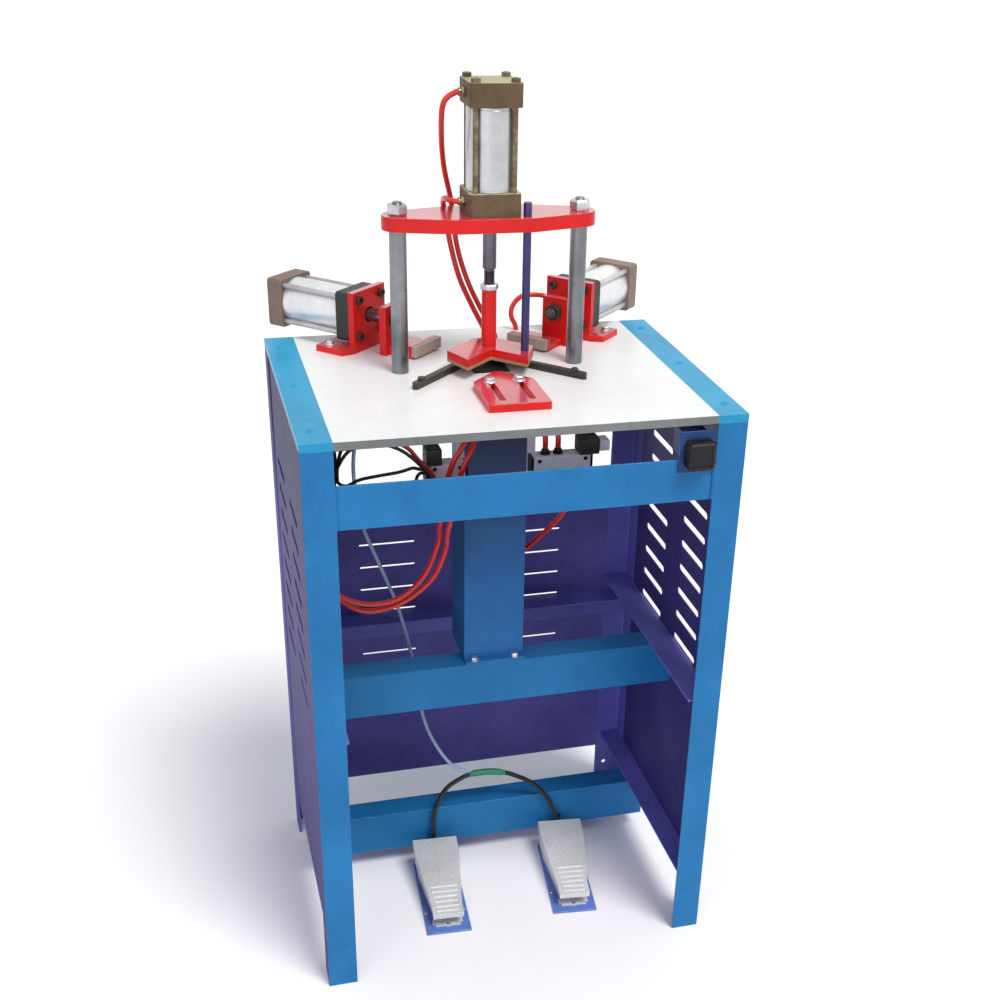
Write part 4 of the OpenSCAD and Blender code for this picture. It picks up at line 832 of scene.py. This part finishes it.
def modelBolt(kind, facts, shank, length):
    pieces = []
    base = 0
    if "washer" in facts:
        radius, base = facts["washer"], facts["washerHigh"]
        pieces.append(turned("washer", [
            (radius * 0.97, 0), (radius, base * 0.3), (radius, base * 0.7), (radius * 0.96, base),
            (facts["across"] * 0.52, base)], 40))
    if kind == "strip":
        radius, high = facts["across"] / 2, facts["high"]
        head = turned("head", [
            (radius, 0), (radius * 0.98, high * 0.4), (radius * 0.8, high * 0.9), (radius * 0.55, high),
            (radius * 0.5, high * 0.4)], 32)
    else:
        head = hexHead("head", facts["across"], facts["high"])
        head.data.transform(Matrix.Translation((0, 0, base)))
    thread = threads(shank, shank * 0.14, -length + 0.0015, -length + 0.012, 0.00125)
    shaft = turned("shank", [(shank * 0.8, -length), (shank, -length + 0.001)] + thread + [(shank, 0)], 20)
    return joined(kind + "_bolt", pieces + [head, shaft])


def addFasteners():
    kinds = {}
    for part in splitLoose(copyNode("fasteners", "fastener_places")):
        low, high = reach(part)
        middle = (low + high) / 2
        x = middle.x
        # where a screw stands tells its kind
        if abs(x) > 0.28:
            kind, shank = "strip", 0.003
        elif high.z < 0.6:
            kind, shank = "column", 0.004
        elif abs(x) < 0.03:
            kind, shank = "stop", 0.004
        elif abs(x) < 0.13:
            kind, shank = "fence", 0.003
        else:
            kind, shank = "flange", 0.004
        bpy.data.objects.remove(part, do_unlink=True)
        if kind == "stop" and high.z - low.z < 0.004:
            continue  # a loose washer, which comes with its bolt
        facts = boltFacts[kind]
        under = high.z - facts["high"] - (facts["washerHigh"] if kind == "stop" else 0)
        kinds.setdefault(kind, []).append((Vector((x, middle.y, under)), shank, under - low.z))
    for kind, places in kinds.items():
        first = modelBolt(kind, boltFacts[kind], places[0][1], places[0][2])
        smoothEdges(first, 30)
        for k, (place, shank, length) in enumerate(places):
            bolt = copied(first, f"{kind}_bolt_{k}")
            stood(bolt, place, spin=17 * k + 8)
            settle(bolt, boltFacts[kind]["finish"], "fasteners")
        bpy.data.objects.remove(first, do_unlink=True)


addFasteners()
print("table and bolts made")

# Press
pressFacts = {
    "tubeR": 0.035,
    "rodR": 0.010,
    "pistonR": 0.0314,
    "threadR": 0.008,
    "threadTop": 1.0765,
    "postX": 0.134,
    "postR": 0.0125,
    "studR": 0.008,
    "nutAcross": 0.026,
    "rodNutAcross": 0.024,
}


def addPress(facts):
    for node in ("press_rear_cap", "press_front_cap"):
        for part in softParts(node, node + "_part", 0.0011, lambda low, high: "oliveCasting"):
            # painted highlight on the caps' upward faces
            paintTopSheen(part, "oliveTopPaintedHighlight")
    middle = bench(0, pressY, 0)
    low, high = (corner.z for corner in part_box("press_barrel"))
    outer = facts["tubeR"]
    barrel = turned("press_tube", [
        (outer - 0.0015, low), (outer - 0.0003, low + 0.001), (outer - 0.0003, low + 0.004),
        (outer, low + 0.0045), (outer, high - 0.0045),
        (outer - 0.0003, high - 0.004), (outer - 0.0003, high - 0.001), (outer - 0.0015, high)], 96)
    stood(barrel, middle)
    dress(barrel, "barrelAlloy", "press_barrel", angle=30)

    low, high = (corner.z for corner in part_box("press_rod"))
    rodR, pistonR, threadTop = facts["rodR"], facts["pistonR"], facts["threadTop"]
    rod = turned("press_rod_turned", threads(facts["threadR"], 0.0008, low, threadTop, 0.0015) + [
        (facts["threadR"] - 0.001, threadTop + 0.0020), (rodR - 0.0012, threadTop + 0.0023),
        (rodR, threadTop + 0.0040), (rodR, high - 0.020), (pistonR - 0.0006, high - 0.0198),
        (pistonR, high - 0.019), (pistonR, high - 0.001), (pistonR - 0.0006, high)])
    stood(rod, middle)
    dress(rod, "rodSteel", "press_rod", angle=30)
    low, high = (corner.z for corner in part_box("rod_nut"))
    nut = turned("rod_nut_turned", hexStations(facts["rodNutAcross"], low, high), 6)
    stood(nut, middle, spin=30)
    dress(nut, "zinc", "rod_nut", angle=30)

    for side, x in (("left", -facts["postX"]), ("right", facts["postX"])):
        node = "guide_post_" + side
        low, high = (corner.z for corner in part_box(node))
        top, r, stud = bridgeTop - 0.020, facts["postR"], facts["studR"]
        foot = [(stud - 0.001, low)] + threads(stud, 0.0008, low + 0.001, low + 0.018, 0.002)
        shaft = [
            (stud, tableTop - 0.0004), (r - 0.0008, tableTop), (r, tableTop + 0.0008),
            (r, top - 0.0008), (r - 0.0008, top), (stud, top + 0.0002), (stud, bridgeTop + 0.003)]
        head = threads(stud, 0.0008, bridgeTop + 0.0035, high - 0.002, 0.002) + [(stud - 0.002, high)]
        post = turned(node + "_turned", foot + shaft + head)
        stood(post, bench(x, pressY, 0))
        dress(post, "postSteel", node, angle=30)

    for k, part in enumerate(splitLoose(copyNode("post_nuts", "nut_places"))):
        low, high = reach(part)
        centre = (low + high) / 2
        radius = (high.x - low.x) / 2
        bpy.data.objects.remove(part, do_unlink=True)
        if high.z - low.z < 0.005:
            piece = turned(f"post_washer_{k}", [
                (radius * 0.97, low.z), (radius, low.z + 0.0006), (radius, high.z - 0.0008),
                (radius * 0.96, high.z)])
        else:
            piece = turned(f"post_nut_{k}", hexStations(facts["nutAcross"], low.z, high.z), 6)
        stood(piece, (centre.x, centre.y, 0), spin=14 * k)
        dress(piece, "zinc", "post_nuts", angle=30)

    for node, width in (("bridge_plate", 0.0016), ("clamp_plate", 0.0011), ("clamp_pad", 0.0006),
            ("guide_rod", 0.0008)):
        soft = softNode(node, node + "_soft", width, slotFinish[slotOf[node]])
        # painted sheen on the tops of the red plates
        if slotOf[node] == "red_enamel":
            paintTopSheen(soft)


addPress(pressFacts)
print("press made")


# Fence, stop and jaws
def rodLook(low, high):
    return "rodSteel" if (high - low).length > 0.06 else "darkSteel"


def jawLook(low, high):
    return "padGrey" if (high - low).z < 0.02 else "redEnamel"


def addTools():
    for node in ("fence_left", "fence_right", "stop_plate"):
        soft = softNode(node, node + "_soft", 0.0009, slotFinish[slotOf[node]])
        # painted sheen on the tops of the red plates
        if slotOf[node] == "red_enamel":
            paintTopSheen(soft)
    for side in ("left", "right"):
        axis = Vector((-1 if side == "left" else 1, 1, 0)).normalized()

        def outward(place):
            # how far out a place lies along the jaw's axis
            return (place - bench(0, pressY, 0)).dot(axis)

        def cylinderLook(low, high):
            size = high - low
            if size.z < 0.03:
                return "tieSteel"
            if size.z > 0.073:
                return "blackCasting" if outward((low + high) / 2) < 0.25 else "brownCasting"
            return "jawBarrel"

        for part in softParts("jaw_cylinder_" + side, "jaw_cylinder_" + side, 0.0010, cylinderLook):
            if part.data.materials[0] == finishes["tieSteel"]:
                paintFaces(part, "darkSteel", lambda centre, normal: outward(centre) < 0.199)
        # painted sheen on the bracket's upward faces
        paintTopSheen(softNode("jaw_bracket_" + side, "jaw_bracket_" + side + "_soft", 0.0011, "redEnamel"))
        softParts("jaw_rod_" + side, "jaw_rod_" + side, 0.0008, rodLook)
        for part in softParts("jaw_" + side, "jaw_" + side, 0.0010, jawLook):
            # painted sheen on the upward faces of the red jaw parts
            if part.data.materials[0] == finishes["redEnamel"]:
                paintTopSheen(part)


addTools()
print("fence, stop and jaws made")


# Nail driver
def addDriver():
    def capLook(low, high):
        size = high - low
        return "oliveCasting" if size.x > 0.07 and size.z < 0.05 else "barrelAlloy"

    softParts("driver_cylinder", "driver_cylinder", 0.001, capLook)
    softParts("driver_blade", "driver_blade", 0.0004, lambda low, high: "rodSteel")
    softParts("nail_block", "nail_block", 0.0008, lambda low, high: "blackSteel")


addDriver()

# Valves, terminal box and manifold
valveFacts = {
    "left": {"low": -0.134, "high": -0.074, "coil": (-0.134, -0.112)},
    "right": {"low": 0.018, "high": 0.110, "coil": (0.088, 0.134)},
    "deep": 0.025,
    "coilHigh": 0.024,
    "plugWide": 0.016,
}


def screwHead(name, radius, high):
    return turned(name, [(radius, 0), (radius, high * 0.6), (radius * 0.85, high), (radius * 0.5, high),
        (radius * 0.45, high * 0.5)], 20)


def addValves(facts):
    fitting = turned("fitting_model", [(0.0068, 0), (0.0072, 0.0006), (0.0072, 0.0030), (0.0058, 0.0034),
        (0.0058, 0.0058), (0.0052, 0.0074), (0.0042, 0.0079)], 24)
    smoothEdges(fitting, 30)
    for side in ("left", "right"):
        valve = facts[side]
        low, high = valve["low"], valve["high"]
        body = block(f"valve_body_{side}", bench(low + 0.004, valveY, valveBottom),
            bench(high - 0.004, valveY + facts["deep"], valveTop), 0.0012)
        bpy.ops.object.mode_set(mode="EDIT")
        pickFaces(body, lambda centre, normal: normal.y < -0.9)
        bpy.ops.mesh.inset(thickness=0.004, depth=-0.0012)
        bpy.ops.object.mode_set(mode="OBJECT")
        dress(body, "valveAlloy", "valve_bank")
        for k, x in enumerate((low, high - 0.0042)):
            end = block(f"valve_end_{side}_{k}", bench(x, valveY + 0.0015, valveBottom + 0.0015),
                bench(x + 0.0042, valveY + facts["deep"] - 0.0015, valveTop - 0.0015), 0.0012)
            dress(end, "blackPlastic", "valve_bank")
        for k, x in enumerate((low, high - 0.012)):
            strap = block(f"valve_strap_{side}_{k}", bench(x, valveY + facts["deep"] + 0.0001, valveBottom),
                bench(x + 0.012, valveY + facts["deep"] + 0.003, frameTop - 0.0001), 0.0005)
            dress(strap, "whiteEnamel", "valve_bank")
        for k, x in enumerate((low + 0.012, high - 0.012)):
            screw = screwHead(f"valve_screw_{side}_{k}", 0.0028, 0.0016)
            stood(screw, bench(x, valveY + 0.0004, valveTop - 0.006), (0, -1, 0))
            dress(screw, "blackPlastic", "valve_bank")
        left, right = valve["coil"]
        if side == "right":
            right -= facts["plugWide"]
            plug = block("coil_plug", bench(right + 0.0001, valveY - 0.001, valveTop + 0.003),
                bench(right + facts["plugWide"], valveY + facts["deep"] - 0.003, valveTop + 0.019), 0.0016)
            dress(plug, "valveAlloy", "valve_bank")
        coil = block(f"coil_{side}", bench(left, valveY - 0.004, valveTop + 0.0001),
            bench(right, valveY + facts["deep"], valveTop + facts["coilHigh"]), 0.002, 3)
        bpy.ops.object.mode_set(mode="EDIT")
        pickFaces(coil, lambda centre, normal: normal.z > 0.9)
        bpy.ops.mesh.inset(thickness=0.003)
        bpy.ops.mesh.extrude_region_move(TRANSFORM_OT_translate={"value": (0, 0, -0.0015)})
        bpy.ops.object.mode_set(mode="OBJECT")
        dress(coil, "coilBlack", "valve_bank")
    for k, x in enumerate(portX + riserX):
        ring = copied(fitting, f"valve_fitting_{k}")
        if k < len(portX):
            stood(ring, bench(x, riserY, valveBottom), (0, 0, -1))
        else:
            stood(ring, bench(x, riserY, valveTop))
        settle(ring, "blackPlastic", "valve_bank")
    bpy.data.objects.remove(fitting, do_unlink=True)


def addTerminalBox():
    x, y, z = terminalAt
    box = block("terminal_box", bench(x, y, z), bench(x + 0.040, y + 0.040, z + 0.0218), 0.002, 3)
    dress(box, "blackPlastic", "valve_bank")
    for k, spot in enumerate(((x, y + 0.020, z + 0.011), (x + 0.014, y, z + 0.011))):
        gland = turned(f"terminal_gland_{k}", [(0.0052, 0), (0.0052, 0.0022), (0.0042, 0.0030),
            (0.0034, 0.0046)], 20)
        stood(gland, bench(*spot), (-1, 0, 0) if k == 0 else (0, -1, 0))
        dress(gland, "blackPlastic", "valve_bank")


def addManifold():
    x, y, z = manifoldAt
    body = block("manifold_body", bench(x, y, z), bench(x + 0.050, y + 0.090, z + 0.0238), 0.0015)
    dress(body, "barrelAlloy", "valve_bank")
    for k, spot in enumerate(((x + 0.028, y + 0.030), (x + 0.028, y + 0.064))):
        ring = turned(f"manifold_fitting_{k}", [(0.0068, 0), (0.0068, 0.003), (0.0054, 0.0034),
            (0.0050, 0.007)], 24)
        stood(ring, bench(spot[0], spot[1], z), (0, 0, -1))
        dress(ring, "blackPlastic", "valve_bank")
    feed = turned("manifold_feed_fitting", [(0.0058, 0), (0.0058, 0.003), (0.0046, 0.0034), (0.0040, 0.007)],
        24)
    stood(feed, bench(x + 0.044, y, z + 0.012), (0, -1, 0))
    dress(feed, "blackPlastic", "valve_bank")


addValves(valveFacts)
addTerminalBox()
addManifold()
print("valves made")

# Hose ends on the cylinders
elbowFacts = {
    "press_upper": {"at": (-0.0375, pressY, pressCapZ + 0.016), "to": (-1, 0, 0), "node": "press_rear_cap"},
    "press_lower": {"at": (-0.0375, pressY, bridgeTop + 0.016), "to": (-1, 0, 0), "node": "press_front_cap"},
    "right_jaw": {"at": jawPort, "to": (-1, 1, 0), "node": "jaw_cylinder_right"},
    "left_jaw": {"at": (-jawPort[0], jawPort[1], jawPort[2]), "to": (1, 1, 0), "node": "jaw_cylinder_left"},
}


def addHoseEnds(facts):
    for name, end in facts.items():
        nut = hexHead(name + "_hose_nut", 0.013, 0.005)
        collar = turned("collar", [(0.0052, 0.0045), (0.0056, 0.0052), (0.0056, 0.0088), (0.0050, 0.0095)], 24)
        piece = joined(name + "_hose_end", [nut, collar])
        stood(piece, bench(*end["at"]), end["to"])
        dress(piece, "brass", end["node"], angle=30, replaced=False)


addHoseEnds(elbowFacts)

# Regulator
knobFacts = {
    "x": 0.241,
    "z": 0.878,
    "half": 0.0205,
    "front": -0.0240,
    "grips": 4,
}


def addRegulator(facts):
    # the regulator in the darkened blue of painted shade
    softParts("regulator", "regulator", 0.0009, lambda low, high: "shadeEnamel")
    x, z, half, front = facts["x"], facts["z"], facts["half"], facts["front"]
    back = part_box("regulator_knob")[1].y
    knob = block("knob_block", (x - half, front + benchFront + 0.0005, z - half), (x + half, back, z + half),
        0.0055, 5)
    bpy.ops.object.mode_set(mode="EDIT")
    pickFaces(knob, lambda centre, normal: normal.y < -0.95)
    bpy.ops.mesh.inset(thickness=0.003)
    bpy.ops.mesh.extrude_region_move(TRANSFORM_OT_translate={"value": (0, 0.0012, 0)})
    bpy.ops.mesh.inset(thickness=0.004)
    bpy.ops.mesh.extrude_region_move(TRANSFORM_OT_translate={"value": (0, -0.0008, 0)})
    bpy.ops.object.mode_set(mode="OBJECT")
    pieces = [knob]
    for sideX, sideZ in ((1, 0), (-1, 0), (0, 1), (0, -1)):
        for k in range(facts["grips"]):
            shift = (k - (facts["grips"] - 1) / 2) * 0.0066
            cx = x + sideX * (half - 0.0002) + abs(sideZ) * shift
            cz = z + sideZ * (half - 0.0002) + abs(sideX) * shift
            pieces.append(block("grip", (cx - 0.0011, front + benchFront + 0.004, cz - 0.0011),
                (cx + 0.0011, back - 0.003, cz + 0.0011), 0.0006, 1))
    knob = joined("regulator_knob_grip", pieces)
    dress(knob, "blackPlastic", "regulator_knob")


addRegulator(knobFacts)
print("regulator made")

# Pedals
pedalFacts = {
    "plateEdge": 0.0006,
    "castEdge": 0.0016,
}


def onPedal(side, x, y, z):
    facts = pedals[side]
    angle = math.radians(facts["turn"])
    return bench(facts["at"][0] + x * math.cos(angle) - y * math.sin(angle),
        facts["at"][1] + x * math.sin(angle) + y * math.cos(angle), z)


def addPedals(facts):
    for side in ("left", "right"):
        def baseLook(low, high):
            size = high - low
            if size.z < 0.0045 and size.y > 0.1:
                return "plateEnamel"
            return "zinc" if size.z < 0.008 else "hammeredAlloy"

        softParts("pedal_base_" + side, "pedal_base_" + side, facts["plateEdge"], baseLook)
        softNode("pedal_" + side, "pedal_cover_" + side, facts["castEdge"], "hammeredAlloy", segments=3,
            angle=40)
        for k, (x, y) in enumerate(((-0.0335, 0.052), (0.0335, 0.052), (0, 0.017))):
            screw = screwHead(f"pedal_screw_{side}_{k}", 0.0032 if k < 2 else 0.0036,
                0.0022 if k < 2 else 0.0007)
            stood(screw, onPedal(side, x, y, 0.004 if k < 2 else 0.007))
            dress(screw, "zinc", "pedal_base_" + side, replaced=False)
        nut = hexHead(f"pedal_gland_{side}", 0.0135, 0.006)
        stood(nut, onPedal(side, 0, pedalLong, 0.0355))
        dress(nut, "blackPlastic", "pedal_base_" + side, angle=30, replaced=False)
        boot = turned(f"pedal_boot_{side}", [(0.0058, 0), (0.0058, 0.003), (0.0050, 0.004), (0.0052, 0.008),
            (0.0047, 0.0085), (0.0049, 0.0125), (0.0044, 0.013), (0.0046, 0.017), (0.0042, 0.0175),
            (0.0042, 0.024)], 24)
        stood(boot, onPedal(side, 0, pedalLong, 0.0425))
        dress(boot, "blackPlastic", "pedal_base_" + side, angle=30, replaced=False)


addPedals(pedalFacts)

# Green sleeve where the two pedal leads join the pale cable
sleeveFacts = {
    "wide": 0.012,
    "steps": 14,
}


def addSleeve(facts):
    ends = [bench(*jointRoute[0]), bench(*jointRoute[1]), bench(*jointRoute[2])]
    length = (ends[2] - ends[0]).length
    stations = []
    for k in range(facts["steps"] + 1):
        t = k / facts["steps"]
        squeeze = 0.72 + 0.28 * min(1, min(t, 1 - t) * 7)
        stations.append((facts["wide"] / 2 * squeeze * (1 - 0.05 * (k % 2)), length * t))
    sleeve = turned("joint_sleeve", stations, 28)
    stood(sleeve, (0, 0, 0), ends[2] - ends[0])
    # the sleeve follows the slight hump of the joint
    lift = ends[1] - (ends[0] + ends[2]) / 2
    for vertex in sleeve.data.vertices:
        t = vertex.co.dot(ends[2] - ends[0]) / length ** 2
        vertex.co += ends[0] + lift * (4 * t * (1 - t))
    dress(sleeve, "greenSleeve", "cable_joint", angle=60)


addSleeve(sleeveFacts)
print("pedals and sleeve made")


# Floor, light and background
stageFacts = {
    "floor": (0.7, 0.7, 0.7, 1),
    "white": (1, 1, 1, 1),
    "zenith": (0.95, 0.98, 1.0, 1),
    "horizon": (0.27, 0.22, 0.40, 1),
    "worldStrength": 0.62,
}
suns = {
    "key": {"from": (0.45, -0.9, 1.7), "angle": 24, "power": 2.1, "colour": (1, 0.98, 0.95)},
    "violetFill": {"from": (-0.9, -1.2, 0.4), "angle": 50, "power": 0.8, "colour": (0.92, 0.76, 1.0)},
}


def seenRays(tree):
    # 1 for rays from the camera and for those in reflections and glass
    paths = tree.nodes.new("ShaderNodeLightPath")
    value = paths.outputs["Is Camera Ray"]
    for name in ("Is Glossy Ray", "Is Transmission Ray"):
        either = tree.nodes.new("ShaderNodeMath")
        either.operation = "MAXIMUM"
        tree.links.new(value, either.inputs[0])
        tree.links.new(paths.outputs[name], either.inputs[1])
        value = either.outputs["Value"]
    return value


def addStage(facts):
    bpy.ops.object.select_all(action="DESELECT")
    bpy.ops.mesh.primitive_plane_add(size=30, location=(0, 0, 0))
    floor = bpy.context.active_object
    floor.name = "floor"
    material = bpy.data.materials.new("paleFloor")
    material.use_nodes = True
    shader = next(n for n in material.node_tree.nodes if n.type == "BSDF_PRINCIPLED")
    # the floor is white to the eye and in reflections, and lights the bench as a pale grey one would
    mix = material.node_tree.nodes.new("ShaderNodeMix")
    mix.data_type = "RGBA"
    grey, white = [socket for socket in mix.inputs if socket.type == "RGBA"]
    grey.default_value, white.default_value = facts["floor"], facts["white"]
    links = material.node_tree.links
    links.new(seenRays(material.node_tree), mix.inputs[0])
    links.new(next(socket for socket in mix.outputs if socket.type == "RGBA"), shader.inputs["Base Color"])
    shader.inputs["Roughness"].default_value = 0.9
    shader.inputs["Specular IOR Level"].default_value = 0.1
    floor.data.materials.append(material)


def addSun(name, facts):
    data = bpy.data.lights.new(name, "SUN")
    data.angle = math.radians(facts["angle"])
    data.energy = facts["power"]
    data.color = facts["colour"]
    obj = bpy.data.objects.new(name, data)
    obj.location = facts["from"]
    obj.rotation_euler = (-Vector(facts["from"])).to_track_quat("-Z", "Y").to_euler()
    bpy.context.collection.objects.link(obj)


def addWorld(facts):
    # pale from above, a dim violet from the sides, and plain white where the camera looks past the floor
    world = bpy.data.worlds.new("studio")
    bpy.context.scene.world = world
    world.use_nodes = True
    tree = world.node_tree
    tree.nodes.clear()
    add = tree.nodes.new
    output, mix = add("ShaderNodeOutputWorld"), add("ShaderNodeMixShader")
    coordinates, split, ramp = add("ShaderNodeTexCoord"), add("ShaderNodeSeparateXYZ"), add("ShaderNodeValToRGB")
    lit, seen = add("ShaderNodeBackground"), add("ShaderNodeBackground")
    ramp.color_ramp.elements[0].position = 0.05
    ramp.color_ramp.elements[1].position = 0.75
    ramp.color_ramp.elements[0].color = facts["horizon"]
    ramp.color_ramp.elements[1].color = facts["zenith"]
    lit.inputs["Strength"].default_value = facts["worldStrength"]
    seen.inputs["Color"].default_value = facts["white"]
    tree.links.new(coordinates.outputs["Generated"], split.inputs["Vector"])
    tree.links.new(split.outputs["Z"], ramp.inputs["Fac"])
    tree.links.new(ramp.outputs["Color"], lit.inputs["Color"])
    tree.links.new(seenRays(tree), mix.inputs["Fac"])
    tree.links.new(lit.outputs["Background"], mix.inputs[1])
    tree.links.new(seen.outputs["Background"], mix.inputs[2])
    tree.links.new(mix.outputs["Shader"], output.inputs["Surface"])


addStage(stageFacts)
for name, facts in suns.items():
    addSun(name, facts)
addWorld(stageFacts)
bpy.context.scene.view_settings.view_transform = "Standard"
print("stage lit")

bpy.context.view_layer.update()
